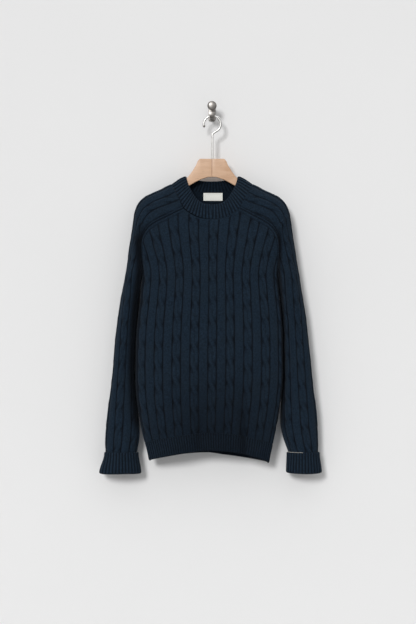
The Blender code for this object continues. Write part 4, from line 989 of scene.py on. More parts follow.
def make_cuff(name, hand):
    """A ribbed cuff turned back once over the sleeve's end."""
    section = sleeve_curve(hand, LAST_ROW)
    foot = CUFF_FOLD[hand]
    count = CUFF_RIBS * RIB_POINTS
    start, turn = section[0][0], section[0][-1] - section[0][0]
    places = start + turn * (np.arange(count) + 0.5) / count
    rim = sleeve_point(section, places)
    around = sleeve_point(section, places + 1.0) - sleeve_point(section, places - 1.0)
    outward = hand * unit(np.cross([0.0, 0.0, -1.0], around))
    ribs = rib_shape(CUFF_RIBS)
    outer = CUFF_AIR + WALL - 0.5
    # Heights, lifts and ribs: down the inside, round the fold, up the outside, back between.
    rows = [(SLEEVE_END - 2 * SEAM_GAP, -WALL, -0.6)]
    rows += [(SLEEVE_END - (SLEEVE_END - foot - 7.0) * k / 5, -WALL, -0.6) for k in range(1, 6)]
    rows += [(foot + 2.0, -WALL + 0.8, -0.3), (foot + 0.5, -WALL + 2.2, 0.0), (foot, CUFF_AIR / 2, 0.2)]
    rows += [(foot + 0.6, outer - 1.6, 0.6), (foot + 2.2, outer - 0.4, 0.9)]
    rows += [(foot + 5.0 + (CUFF_TOP - foot - 8.0) * k / 9, outer, 1.0) for k in range(10)]
    rows += [(CUFF_TOP - 1.0, outer - 0.2, 0.8), (CUFF_TOP, outer - 0.9, 0.2)]
    rows += [(CUFF_TOP, CUFF_AIR + 0.5, 0.0)]
    rows += [(CUFF_TOP - 1.2, CUFF_AIR, 0.0)]
    rows += [(CUFF_TOP - (CUFF_TOP - foot - 9.0) * k / 4, CUFF_AIR, 0.0) for k in range(1, 5)]
    rows += [(foot + 8.0, CUFF_AIR / 2, 0.0), (foot + 9.0, 0.0, 0.0)]
    rows += [(foot + 9.0 + (SLEEVE_END - 2 * SEAM_GAP - foot - 9.0) * k / 3, 0.0, 0.0) for k in range(1, 4)]
    grid, along, painted_shades = [], [], []
    walked = 0.0
    for number, (z, lift, rib) in enumerate(rows):
        widening = float(ease((SLEEVE_END - z) / (SLEEVE_END - foot)))
        lifted = lift + widening * cuff_flare(hand, outward) + rib_lift(rib, ribs, 1.2)
        line = rim + outward * lifted[:, None]
        line[:, 2] = z + 0.6 * np.sin(np.arange(count) / count * 4 * math.pi + hand) * (z < CUFF_TOP - 5.0)
        grid.append(line)
        if number:
            walked += math.hypot(z - rows[number - 1][0], lift - rows[number - 1][1])
        along.append(in_rows(walked))
        # painted shade in the grooves between the ribs, darker on the inside
        painted_shades.append(ribs**2.0 * (0.5 if rib <= 0 else 0.95))
    across = np.arange(count) / RIB_POINTS * 2.0
    return knit_ring(name, np.array(grid), across, np.array(along), np.array(painted_shades))


# ---------------------------------------------------------------- label and linking yarn

def make_label_cloth():
    """The small woven label inside the back neck, bare, its edges folded under."""
    rows, columns = 15, 31
    u, v = np.meshgrid(np.linspace(0, 1, columns), np.linspace(1, 0, rows))
    x, z = LABEL_MIDDLE_X + LABEL_WIDTH * (u - 0.5), LABEL_TOP - LABEL_HEIGHT * (1 - v)
    aside = x - TRUNK_AT["middle"](z)
    share = np.sign(aside) * share_at(np.abs(aside), z)
    behind = WALL + LABEL_CLEAR + 0.5 * np.sin(u * 7.0 + 0.6)
    edge = 1.5 / (columns - 1)
    hem = (np.abs(u - 0.5) > 0.5 - edge) | (np.abs(v - 0.5) > 0.5 - edge * 2)
    lifts = (behind, behind + LABEL_THICKNESS + LABEL_HEM * hem)
    outside, normal = trunk(1, share, z), trunk_normal(1, share, z)
    points = np.concatenate([(outside - normal * lift[..., None]).reshape(-1, 3) for lift in lifts]) * MM
    half = rows * columns
    faces = grid_faces(rows, columns) + grid_faces(rows, columns, half, True)
    rim = ([(0, c) for c in range(columns)] + [(r, columns - 1) for r in range(1, rows)]
           + [(rows - 1, c) for c in range(columns - 2, -1, -1)] + [(r, 0) for r in range(rows - 2, 0, -1)])
    numbers = [r * columns + c for r, c in rim]
    for a, b in zip(numbers, numbers[1:] + numbers[:1]):
        faces.append((a, b, half + b, half + a))
    mesh = bpy.data.meshes.new("label_cloth")
    mesh.from_pydata(points.tolist(), [], faces)
    stitch_map(mesh, np.tile(u.ravel(), 2), np.tile(v.ravel(), 2))
    return finish_mesh("label_cloth", mesh)


def make_yarn():
    """The pale linking yarn along the right cuff's free edge."""
    section = sleeve_curve(1, LAST_ROW)
    reach = CUFF_AIR + WALL - 1.2
    route = []
    for k in range(25):
        place = section[0][0] * (YARN_START - YARN_RUN * k / 24)
        point = sleeve_point(section, place)
        around = sleeve_point(section, place + 1.0) - sleeve_point(section, place - 1.0)
        outward = unit(np.cross([0.0, 0.0, -1.0], around))
        point = point + outward * (reach + 0.5 * math.sin(k * 1.9))
        route.append((point[0], point[1], CUFF_TOP + 0.5 + 0.35 * math.sin(k * 1.3)))
    return wire_mesh("linking_yarn", route, YARN_RADIUS)


# ---------------------------------------------------------------- hard pieces, by hand tools

def start_fresh():
    """Object mode with nothing selected, ready for a new primitive."""
    if bpy.context.object and bpy.context.object.mode != "OBJECT":
        bpy.ops.object.mode_set(mode="OBJECT")
    bpy.ops.object.select_all(action="DESELECT")


def settle(name, angle=35):
    """Names the active object, applies its place and shades it."""
    piece = bpy.context.object
    if piece.mode != "OBJECT":
        bpy.ops.object.mode_set(mode="OBJECT")
    bpy.ops.object.transform_apply(location=True, rotation=True, scale=True)
    for modifier in list(piece.modifiers):
        bpy.ops.object.modifier_apply(modifier=modifier.name)
    bpy.ops.object.mode_set(mode="EDIT")
    bpy.ops.mesh.select_all(action="SELECT")
    bpy.ops.mesh.remove_doubles(threshold=MERGE / 2)
    bpy.ops.mesh.normals_make_consistent(inside=False)
    bpy.ops.object.mode_set(mode="OBJECT")
    bpy.ops.object.shade_smooth_by_angle(angle=math.radians(angle))
    piece.name = piece.data.name = name
    return piece


def select_parts(kind, test):
    """In edit mode, selects the faces or edges that pass the test."""
    shape = bmesh.from_edit_mesh(bpy.context.object.data)
    bpy.ops.mesh.select_mode(type=kind)
    bpy.ops.mesh.select_all(action="DESELECT")
    for part in shape.faces if kind == "FACE" else shape.edges:
        if test(part):
            part.select_set(True)
    bmesh.update_edit_mesh(bpy.context.object.data)


def in_millimetres(*place):
    return tuple(value * MM for value in place)


def add_block(centre, size):
    """A plain block, sizes in millimetres, left in edit mode."""
    start_fresh()
    bpy.ops.mesh.primitive_cube_add(size=1.0, location=in_millimetres(*centre))
    block = bpy.context.object
    block.scale = in_millimetres(*size)
    bpy.ops.object.transform_apply(location=True, rotation=True, scale=True)
    bpy.ops.object.mode_set(mode="EDIT")
    return block


def draw_out(move, grow, centre):
    """Extrudes what is selected by a move and resizes it about a centre."""
    bpy.ops.mesh.extrude_region_move(TRANSFORM_OT_translate={"value": in_millimetres(*move)})
    bpy.ops.transform.resize(value=grow, center_override=in_millimetres(*centre))


def rounded(piece, width, segments, angle=30):
    """Bevels the piece's sharp edges."""
    modifier = piece.modifiers.new("rounding", "BEVEL")
    modifier.width = width
    modifier.segments = segments
    modifier.limit_method = "ANGLE"
    modifier.angle_limit = math.radians(angle)
    modifier.harden_normals = False


def wire_mesh(name, route, radius):
    """A round wire along a route of points, its ends capped."""
    start_fresh()
    bpy.ops.curve.primitive_nurbs_path_add(location=(0, 0, 0))
    curve = bpy.context.object
    curve.data.splines.clear()
    spline = curve.data.splines.new("POLY")
    spline.points.add(len(route) - 1)
    for point, place in zip(spline.points, route):
        point.co = (place[0] * MM, place[1] * MM, place[2] * MM, 1.0)
    curve.data.bevel_depth = radius * MM
    curve.data.bevel_resolution = 5
    curve.data.use_fill_caps = True
    bpy.ops.object.convert(target="MESH")
    return settle(name, 50)


def outline_heights():
    """Upper and lower outline of the wood at stations from its middle to its tip."""
    upper = [(0.0, HANGER_TOP), *HANGER_UPPER, *HANGER_TIP[:2]]
    lower = [HANGER_TIP[1], HANGER_TIP[2], *HANGER_LOWER][::-1]
    stations = [PART_GAP / 2, 10.0, 20.0, 29.0, 31.0, 33.0, 36.0, 38.0, 40.5, 44.0, 48.5, 53.0, 57.0, 62.0,
                66.0, 75.0, 87.0, 100.0, 112.0, 125.0, 137.0, 148.0, 156.0, 163.5, 168.0, 170.9, 172.4]
    top = np.interp(stations, [x for x, _ in upper], [z for _, z in upper])
    foot = np.interp(stations, [x for x, _ in lower], [z for _, z in lower])
    return list(zip(stations, top, foot))


def make_wood_half(name, hand):
    """One half of the wooden hanger, drawn out station by station from a block."""
    stations = outline_heights()
    (first, top, foot), far = stations[0], stations[1][0]
    block = add_block((hand * (first + far) / 2, HANGER_Y, (top + foot) / 2),
                      (far - first, HANGER_THICKNESS, top - foot))
    for x, new_top, new_foot in stations[2:]:
        select_parts("FACE", lambda face: abs(face.calc_center_median().x - hand * far * MM) < SAME)
        grow = (new_top - new_foot) / (top - foot)
        middle, new_middle = (top + foot) / 2, (new_top + new_foot) / 2
        draw_out((hand * (x - far), 0.0, new_middle - middle), (1.0, 1.0, grow),
                 (hand * x, HANGER_Y, new_middle))
        far, top, foot = x, new_top, new_foot
    bpy.ops.object.mode_set(mode="OBJECT")
    rounded(block, HANGER_EDGE * MM, 5, 40)
    return settle(name, 40)


def loop_point(angle):
    """Place on the hook's loop, level and upright, at an angle in degrees."""
    turn = math.radians(angle)
    return LOOP_X + LOOP_RADIUS * math.cos(turn), LOOP_Z + LOOP_RADIUS * math.sin(turn)


def hook_route():
    """The steel hook's middle line, with its turns eased."""
    points = [(LOOP_X, HANGER_TOP + PART_GAP), (LOOP_X, -100.0), (LOOP_X, WIRE_BEND_Z - 6.0),
              (LOOP_X + 0.2, WIRE_BEND_Z - 3.0), (LOOP_X + 1.4, WIRE_BEND_Z - 0.4)]
    first = loop_point(LOOP_START_ANGLE)
    for t in (0.3, 0.5, 0.7, 0.88):
        points.append((points[0][0] + (first[0] - points[0][0]) * (t + 0.03),
                       WIRE_BEND_Z + (first[1] - WIRE_BEND_Z) * t * (0.86 + 0.14 * t)))
    points += [loop_point(angle) for angle in np.linspace(LOOP_START_ANGLE, LOOP_END_ANGLE, 61)]
    return [(x, HANGER_Y, z) for x, z in points]


def make_hook_tip():
    """The rounded end of the wire."""
    x, z = loop_point(LOOP_END_ANGLE)
    centre = in_millimetres(x, HANGER_Y, z)
    start_fresh()
    bpy.ops.mesh.primitive_uv_sphere_add(segments=24, ring_count=16, radius=(WIRE / 2 + TIP_SWELL) * MM,
                                         location=centre)
    bpy.ops.object.mode_set(mode="EDIT")
    bpy.ops.transform.resize(value=(1.0, 1.0, TIP_LENGTHENING), center_override=centre)
    return settle("hook_tip", 60)


def make_plate():
    """The wall plate with its rounded corners and softened front edge."""
    add_block((0.0, -PLATE_THICKNESS / 2, PLATE_MIDDLE_Z), (PLATE_WIDTH, PLATE_THICKNESS, PLATE_HEIGHT))
    half = PLATE_THICKNESS * MM / 2
    select_parts("EDGE", lambda edge: abs(edge.verts[0].co.y - edge.verts[1].co.y) > half)
    bpy.ops.mesh.bevel(offset=PLATE_CORNER * MM, segments=10, affect="EDGES")
    select_parts("FACE", lambda face: face.calc_center_median().y < -2 * half + SAME)
    bpy.ops.mesh.bevel(offset=PLATE_SOFTENING * MM, segments=3, affect="EDGES")
    return settle("plate_metal", 30)


def make_knob():
    """The turned knob on its stem, drawn out of a short cylinder."""
    back, face = PLATE_THICKNESS + PART_GAP, -KNOB_FRONT
    rear = face - KNOB_LENGTH
    neck, radius = KNOB_NECK / 2, KNOB_DIAMETER / 2
    steps = [(back + 3.0, neck), (rear - 3.0, neck), (rear, neck + 3.0), (rear, radius - 1.0),
             (rear + 2.0, radius), (face - 3.5, radius), (face - 1.0, radius - 2.5), (face, radius - 6.0)]
    start_fresh()
    bpy.ops.mesh.primitive_cylinder_add(
        vertices=48, radius=(neck + 1.5) * MM, depth=1.0 * MM,
        location=in_millimetres(0.0, -(back + 0.5), 0.0), rotation=(math.pi / 2, 0.0, 0.0))
    bpy.ops.object.transform_apply(location=True, rotation=True, scale=True)
    bpy.ops.object.mode_set(mode="EDIT")
    away, wide = back + 1.0, neck + 1.5
    select_parts("FACE", lambda face: abs(face.calc_center_median().y + away * MM) < SAME)
    for next_away, next_wide in steps:
        grow = next_wide / wide
        draw_out((0.0, away - next_away, 0.0), (grow, 1.0, grow), (0.0, -next_away, 0.0))
        away, wide = next_away, next_wide
    bpy.ops.object.mode_set(mode="OBJECT")
    rounded(bpy.context.object, KNOB_SOFTENING * MM, 3, 25)
    return settle("knob_metal", 35)


def make_strap():
    """The strap under the wire: a strip drawn out, bent up in front and given its thickness."""
    seat = LOOP_Z + LOOP_RADIUS - WIRE / 2 - PART_GAP - STRAP_DROP
    level = seat - STRAP_THICKNESS / 2
    back = -PLATE_THICKNESS - PART_GAP
    turn_y, turn_z = STRAP_FRONT + STRAP_BEND, level + STRAP_BEND
    path = [(back, level), (turn_y, level)]
    for angle in np.linspace(0.0, math.pi / 2, 13)[1:]:
        path.append((turn_y - STRAP_BEND * math.sin(angle), turn_z - STRAP_BEND * math.cos(angle)))
    path.append((STRAP_FRONT, STRAP_LIP_TOP))
    lengths = np.concatenate(([0.0], np.cumsum(np.hypot(*np.diff(np.array(path), axis=0).T))))
    widening = np.clip((lengths - lengths[1]) / (lengths[-1] - lengths[1]), 0.0, 1.0)
    widths = STRAP_WIDTH + (LIP_WIDTH - STRAP_WIDTH) * widening
    start_fresh()
    bpy.ops.mesh.primitive_plane_add(size=1.0, location=(0.0, (path[0][0] + path[1][0]) / 2 * MM, level * MM))
    strip = bpy.context.object
    strip.scale = (STRAP_WIDTH * MM, (path[0][0] - path[1][0]) * MM, 1.0)
    bpy.ops.object.transform_apply(location=True, rotation=True, scale=True)
    bpy.ops.object.mode_set(mode="EDIT")
    select_parts("EDGE", lambda edge: all(abs(v.co.y - path[1][0] * MM) < SAME for v in edge.verts))
    for number in range(2, len(path)):
        (y, z), (y_next, z_next) = path[number - 1], path[number]
        draw_out((0.0, y_next - y, z_next - z), (widths[number] / widths[number - 1], 1.0, 1.0),
                 (0.0, y_next, z_next))
    bpy.ops.object.mode_set(mode="OBJECT")
    sheet_metal = strip.modifiers.new("sheet metal", "SOLIDIFY")
    sheet_metal.thickness = STRAP_THICKNESS * MM
    sheet_metal.offset = 0.0
    sheet_metal.use_even_offset = True
    rounded(strip, STRAP_SOFTENING * MM, 2, 50)
    return settle("strap_metal", 35)


# ---------------------------------------------------------------- materials

class Nodes:
    """Short calls for building a material's node tree."""

    def __init__(self, name):
        self.material = bpy.data.materials.new(name)
        self.material.use_nodes = True
        self.tree = self.material.node_tree
        self.shader = self.tree.nodes["Principled BSDF"]

    def node(self, kind, **values):
        made = self.tree.nodes.new(kind)
        for key, value in values.items():
            setattr(made, key, value)
        return made

    def link(self, source, target):
        self.tree.links.new(source, target)

    def math(self, operation, first, second=None):
        made = self.node("ShaderNodeMath", operation=operation)
        for number, value in enumerate((first, second)):
            if value is None:
                continue
            if hasattr(value, "is_output"):
                self.link(value, made.inputs[number])
            else:
                made.inputs[number].default_value = value
        return made.outputs[0]

    def noise(self, source, scale, detail=2.0, roughness=0.5, stretch=None):
        if stretch is not None:
            mapping = self.node("ShaderNodeMapping")
            mapping.inputs["Scale"].default_value = stretch
            self.link(source, mapping.inputs["Vector"])
            source = mapping.outputs[0]
        made = self.node("ShaderNodeTexNoise")
        made.inputs["Scale"].default_value = scale
        made.inputs["Detail"].default_value = detail
        made.inputs["Roughness"].default_value = roughness
        self.link(source, made.inputs["Vector"])
        return made.outputs["Fac"]

    def ramp(self, source, *stops):
        made = self.node("ShaderNodeValToRGB")
        elements = made.color_ramp.elements
        while len(elements) < len(stops):
            elements.new(0.5)
        for element, (place, colour) in zip(elements, stops):
            element.position = place
            element.color = (*colour[:3], 1.0)
        self.link(source, made.inputs["Fac"])
        return made.outputs["Color"]

    def mix(self, factor, first, second, blend="MIX"):
        made = self.node("ShaderNodeMix", data_type="RGBA", blend_type=blend)
        for socket, value in ((0, factor), (6, first), (7, second)):
            if hasattr(value, "is_output"):
                self.link(value, made.inputs[socket])
            elif socket == 0:
                made.inputs[socket].default_value = value
            else:
                made.inputs[socket].default_value = (*value[:3], 1.0)
        return made.outputs[2]

    def bump(self, height, strength, distance, under=None):
        made = self.node("ShaderNodeBump")
        made.inputs["Strength"].default_value = strength
        made.inputs["Distance"].default_value = distance
        self.link(height, made.inputs["Height"])
        if under is not None:
            self.link(under, made.inputs["Normal"])
        return made.outputs[0]

    def hump(self, value, middle, steepness):
        """1 at the middle, falling away on both sides like an arch."""
        away = self.math("MULTIPLY", self.math("SUBTRACT", value, middle), steepness)
        return self.math("SUBTRACT", 1.0, self.math("POWER", self.math("ABSOLUTE", away), 2.0))

    def distance(self, value, place):
        return self.math("ABSOLUTE", self.math("SUBTRACT", value, place))

    def object_place(self):
        return self.node("ShaderNodeTexCoord").outputs["Object"]

    def feed(self, name, source):
        """Links a value to the shader's input of this name."""
        self.link(source, self.shader.inputs[name])

    def set(self, **values):
        for key, value in values.items():
            self.shader.inputs[key.replace("_", " ")].default_value = value


def knit_material(name, colour, ribbed):
    """Soft wool in V-shaped stitches that follow the piece's own map."""
    n = Nodes(name)
    place = n.node("ShaderNodeUVMap", uv_map="stitches").outputs[0]
    split = n.node("ShaderNodeSeparateXYZ")
    n.link(place, split.inputs[0])
    leg = n.distance(n.math("FRACT", split.outputs[0]), 0.5)
    leg_height = n.hump(leg, 0.25, 4.0)
    slanted = n.math("FRACT", n.math("SUBTRACT", split.outputs[1], n.math("MULTIPLY", leg, 1.5)))
    yarn = n.math("ADD", n.math("MULTIPLY", n.hump(slanted, 0.5, 2.0), 0.7), 0.3)
    stitch = n.math("MULTIPLY", n.math("MULTIPLY", leg_height, 0.6), yarn)
    coordinates = n.object_place()
    fibre = n.noise(coordinates, 900.0, 3.0, 0.7)
    cloud = n.noise(coordinates, 26.0, 3.0, 0.55)
    heather = n.math("SUBTRACT", n.noise(coordinates, 300.0, 1.0), 0.5)
    # shade is partly painted light and shade, lighter on the stitches' legs and darker between them, and
    # partly the yarn's own fibre and heather flecks
    shade = n.math("ADD", n.math("MULTIPLY", stitch, 0.55), n.math("MULTIPLY", fibre, 0.45))
    shade = n.math("ADD", shade, n.math("MULTIPLY", heather, 0.9))
    light = [channel * 1.5 for channel in colour]
    dark = [channel * 0.45 for channel in colour]
    yarn_colour = n.ramp(shade, (0.12, dark), (0.48, colour), (0.85, light))
    warm = [colour[0] * 1.25, colour[1] * 1.02, colour[2] * 0.85]
    blend = n.math("MULTIPLY", n.math("SUBTRACT", cloud, 0.42), 0.9)
    mottled = n.mix(blend, yarn_colour, warm)
    # The ridge attribute carries the pieces' painted shade; the shadow ramp darkens the wool with it.
    ridge = n.node("ShaderNodeAttribute", attribute_name="ridge").outputs["Fac"]
    shadow = n.ramp(ridge, (0.0, (0.10, 0.10, 0.12)), (0.5, (0.58, 0.58, 0.60)), (0.97, (1.0, 1.0, 1.0)))
    n.feed("Base Color", n.mix(1.0, mottled, shadow, "MULTIPLY"))
    fuzz = n.bump(fibre, 0.35, 0.0005)
    n.feed("Normal", n.bump(stitch, 0.55 if ribbed else 0.7, 0.0012, fuzz))
    n.set(Roughness=0.93, Sheen_Weight=0.05, Sheen_Roughness=0.55, Sheen_Tint=(0.55, 0.68, 0.85, 1.0))
    n.shader.inputs["Specular IOR Level"].default_value = 0.08
    return n.material


def yarn_material(name, colour):
    """Pale twisted yarn."""
    n = Nodes(name)
    coordinates = n.object_place()
    fibre = n.noise(coordinates, 1400.0, 2.0)
    n.feed("Base Color", n.ramp(fibre, (0.3, [c * 0.75 for c in colour]), (0.7, colour)))
    n.feed("Normal", n.bump(fibre, 0.4, 0.0002))
    n.set(Roughness=0.9)
    return n.material


def label_material(name, colour):
    """Satin-woven tape with a fine woven line inside its edge."""
    n = Nodes(name)
    split = n.node("ShaderNodeSeparateXYZ")
    n.link(n.node("ShaderNodeUVMap", uv_map="stitches").outputs[0], split.inputs[0])
    warp = n.math("SINE", n.math("MULTIPLY", split.outputs[0], 620.0))
    weft = n.math("SINE", n.math("MULTIPLY", split.outputs[1], 280.0))
    weave = n.math("ADD", n.math("MULTIPLY", n.math("MULTIPLY", warp, weft), 0.5), 0.5)
    across, down = n.distance(split.outputs[0], 0.5), n.distance(split.outputs[1], 0.5)
    upright = n.math("LESS_THAN", n.distance(across, 0.425), 0.008)
    level = n.math("LESS_THAN", n.distance(down, 0.34), 0.018)
    upright = n.math("MULTIPLY", upright, n.math("LESS_THAN", down, 0.36))
    level = n.math("MULTIPLY", level, n.math("LESS_THAN", across, 0.433))
    line = n.math("MAXIMUM", upright, level)
    cloth = n.ramp(weave, (0.2, [c * 0.9 for c in colour]), (0.8, colour))
    n.feed("Base Color", n.mix(n.math("MULTIPLY", line, 0.35), cloth, (0.30, 0.31, 0.30)))
    n.feed("Normal", n.bump(weave, 0.25, 0.0002))
    n.set(Roughness=0.7, Sheen_Weight=0.1)
    return n.material


def wood_material(name, colour):
    """Pale satin beech, its grain along the arms, with short dark flecks."""
    n = Nodes(name)
    coordinates = n.object_place()
    broad = n.noise(coordinates, 9.0, 4.0, 0.6, (1.0, 2.0, 5.0))
    grain = n.noise(coordinates, 60.0, 5.0, 0.65, (0.35, 2.0, 6.0))
    fleck = n.noise(coordinates, 420.0, 2.0, 0.5, (0.16, 1.0, 1.0))
    light = [min(1.0, c * 1.13) for c in colour]
    deep = [colour[0] * 0.82, colour[1] * 0.74, colour[2] * 0.66]
    base = n.ramp(broad, (0.3, deep), (0.5, colour), (0.72, light))
    lined = n.mix(n.math("MULTIPLY", n.math("SUBTRACT", grain, 0.35), 0.55), base, deep)
    specks = n.math("MULTIPLY", n.math("GREATER_THAN", fleck, 0.66), 0.35)
    n.feed("Base Color", n.mix(specks, lined, [c * 0.55 for c in colour]))
    n.feed("Normal", n.bump(grain, 0.12, 0.0003))
    n.feed("Roughness", n.math("ADD", n.math("MULTIPLY", grain, 0.2), 0.34))
    n.set(Coat_Weight=0.15, Coat_Roughness=0.3)
    return n.material


def metal_material(name, colour, roughness, wear, stretch):
    """Plated metal with fine scratches and faint darker wear."""
    n = Nodes(name)
    coordinates = n.object_place()
    scratch = n.noise(coordinates, 500.0, 3.0, 0.6, stretch)
    patch = n.noise(coordinates, 120.0, 4.0, 0.6)
    dark = [c * (1 - wear) for c in colour]
    n.feed("Base Color", n.ramp(patch, (0.32, dark), (0.62, colour)))
    n.feed("Roughness", n.math("ADD", n.math("MULTIPLY", scratch, 0.18), roughness - 0.06))
    n.feed("Normal", n.bump(scratch, 0.08, 0.0001))
    n.set(Metallic=1.0)
    return n.material


def plaster_material(name, colour, hide_back):
    """Smooth pale paint. The wall's is clear from behind, so the back of the sweater shows."""
    n = Nodes(name)
    coordinates = n.object_place()
    tone = n.noise(coordinates, 3.0, 2.0)
    n.feed("Base Color", n.ramp(tone, (0.3, [c * 0.99 for c in colour]), (0.7, colour)))
    n.feed("Normal", n.bump(n.noise(coordinates, 700.0), 0.03, 0.0003))
    n.set(Roughness=0.95)
    if not hide_back:
        return n.material
    seen = n.math("MULTIPLY", n.node("ShaderNodeLightPath").outputs["Is Camera Ray"],
                  n.math("SUBTRACT", 1.0, n.node("ShaderNodeNewGeometry").outputs["Backfacing"]))
    mixed = n.node("ShaderNodeMixShader")
    n.link(seen, mixed.inputs[0])
    n.link(n.node("ShaderNodeBsdfTransparent").outputs[0], mixed.inputs[1])
    n.link(n.shader.outputs[0], mixed.inputs[2])
    n.link(mixed.outputs[0], n.tree.nodes["Material Output"].inputs["Surface"])
    return n.material


def soft_room(strength, floor_share):
    """Even white light all round, weaker from below."""
    world = bpy.data.worlds.new("soft_room")
    world.use_nodes = True
    tree = world.node_tree
    back = tree.nodes["Background"]
    place = tree.nodes.new("ShaderNodeTexCoord")
    split = tree.nodes.new("ShaderNodeSeparateXYZ")
    tree.links.new(place.outputs["Generated"], split.inputs[0])
    ramp = tree.nodes.new("ShaderNodeMapRange")
    limits = (-0.6, 0.8, strength * floor_share, strength * (2 - floor_share))
    for number, value in enumerate(limits, start=1):
        ramp.inputs[number].default_value = value
    tree.links.new(split.outputs[2], ramp.inputs[0])
    tree.links.new(ramp.outputs[0], back.inputs[1])
    back.inputs[0].default_value = (1.0, 1.0, 1.0, 1.0)
    return world


def dress(piece, material, slot, *nodes):
    """Gives a piece its material and its place on the frame."""
    piece.data.materials.clear()
    piece.data.materials.append(material)
    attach(piece, "root")
    if nodes:
        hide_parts(*nodes)
    return piece


def found_material(name, make, *values):
    """The named material, made once."""
    return bpy.data.materials.get(name) or make(name, *values)


def wool():
    return found_material("navy_wool_knit", knit_material, tuple(knit_settings().wool_colour), False)


def wool_rib():
    return found_material("navy_wool_rib", knit_material, tuple(knit_settings().rib_colour), True)


# ---------------------------------------------------------------- settings

def length_setting(name, description, default):
    return bpy.props.FloatProperty(name=name, description=description, default=default, min=0.0,
                                   subtype="DISTANCE", unit="LENGTH")


def colour_setting(name, description, default):
    return bpy.props.FloatVectorProperty(name=name, description=description, default=default, size=3,
                                         min=0.0, max=1.0, subtype="COLOR")


def strength_setting(name, description, default):
    return bpy.props.FloatProperty(name=name, description=description, default=default, min=0.0)


class SweaterKnit(bpy.types.PropertyGroup):
    """Stitches and colour of the wool."""
    cable_height: length_setting("Cable height", "How far a cable stands out", 0.0026)
    plain_height: length_setting("Plain height", "How far the stitches between cables stand out", 0.0017)
    rib_height: length_setting("Rib height", "How far the ribs stand out", 0.0017)
    stitch_width: length_setting("Stitch width", "Width of one stitch", 0.0036)
    row_height: length_setting("Row height", "Height of one row of stitches", 0.0028)
    wool_colour: colour_setting("Wool", "Colour of the cabled wool", (0.0096, 0.0195, 0.0335))
    rib_colour: colour_setting("Ribs", "Colour of the ribbed bands", (0.0110, 0.0222, 0.0378))
    yarn_colour: colour_setting("Linking yarn", "Colour of the pale yarn on one cuff", (0.44, 0.43, 0.39))
    label_colour: colour_setting("Label", "Colour of the bare neck label", (0.92, 0.93, 0.87))


class SweaterHanger(bpy.types.PropertyGroup):
    """Finishes of the hanger and the wall hook."""
    wood_colour: colour_setting("Wood", "Colour of the beech", (0.585, 0.375, 0.24))
    steel_colour: colour_setting("Steel", "Colour of the hanger's wire", (0.72, 0.71, 0.69))
    nickel_colour: colour_setting("Nickel", "Colour of the wall hook", (0.36, 0.34, 0.32))


class SweaterStage(bpy.types.PropertyGroup):
    """Wall, light and camera."""
    wall_colour: colour_setting("Wall", "Colour of the wall and floor", (0.80, 0.80, 0.80))
    camera_distance: length_setting("Camera distance", "From the camera to the sweater", 4.3)
    view_height: length_setting("View height", "Height of what the camera takes in", 1.56)
    key_strength: strength_setting("Key light", "Strength of the light from upper left", 1.68)
    back_strength: strength_setting("Back light", "Strength of the light from behind", 1.1)
    fill_strength: strength_setting("Fill light", "Strength of the light all round", 0.47)
    floor_share: bpy.props.FloatProperty(name="Light from below", description="Its share of the fill light",
                                         default=0.35, min=0.0, max=1.0)


# ---------------------------------------------------------------- operators

class SWEATER_OT_panels(bpy.types.Operator):
    """Knits the front and the back"""
    bl_idname = "sweater.panels"
    bl_label = "Front and back"

    def execute(self, context):
        for node, side in (("front", -1), ("back", 1)):
            dress(make_panel(node + "_knit", side), wool(), "navy_wool", node)
        return {"FINISHED"}


class SWEATER_OT_sleeves(bpy.types.Operator):
    """Knits both sleeves with their saddles"""
    bl_idname = "sweater.sleeves"
    bl_label = "Sleeves"

    def execute(self, context):
        for node, hand in (("sleeve_left", -1), ("sleeve_right", 1)):
            dress(make_sleeve(node + "_knit", hand), wool(), "navy_wool", node)
        return {"FINISHED"}


class SWEATER_OT_bands(bpy.types.Operator):
    """Knits the collar, the hem and the cuffs"""
    bl_idname = "sweater.bands"
    bl_label = "Collar, hem and cuffs"

    def execute(self, context):
        dress(make_collar(), wool_rib(), "navy_rib", "collar")
        dress(make_hem(), wool_rib(), "navy_rib", "hem_rib")
        for node, hand in (("cuff_left", -1), ("cuff_right", 1)):
            dress(make_cuff(node + "_knit", hand), wool_rib(), "navy_rib", node)
        return {"FINISHED"}


class SWEATER_OT_trims(bpy.types.Operator):
    """Makes the bare neck label and the linking yarn"""
    bl_idname = "sweater.trims"
    bl_label = "Label and yarn"

    def execute(self, context):
        knit = knit_settings()
        label = found_material("label_tape", label_material, tuple(knit.label_colour))
        dress(make_label_cloth(), label, "label", "neck_label")
        dress(make_yarn(), found_material("pale_yarn", yarn_material, tuple(knit.yarn_colour)), "label")
        return {"FINISHED"}


class SWEATER_OT_hanger(bpy.types.Operator):
    """Makes the wooden hanger and its steel hook"""
    bl_idname = "sweater.hanger"
    bl_label = "Hanger"

    def execute(self, context):
        finish = context.scene.sweater_hanger
        beech = found_material("satin_beech", wood_material, tuple(finish.wood_colour))
        bright, worn = tuple(finish.steel_colour), tuple(finish.nickel_colour)
        steel = found_material("polished_steel", metal_material, bright, 0.36, 0.12, (1.0, 1.0, 0.1))
        dark = found_material("worn_tip", metal_material, worn, 0.42, 0.3, (1.0, 1.0, 1.0))
        for end, hand in (("left", -1), ("right", 1)):
            dress(make_wood_half("wood_" + end, hand), beech, "beech", "hanger_" + end)
        dress(wire_mesh("hook_wire", hook_route(), WIRE / 2), steel, "steel_wire", "hanger_hook")
        dress(make_hook_tip(), dark, "steel_wire")
        return {"FINISHED"}


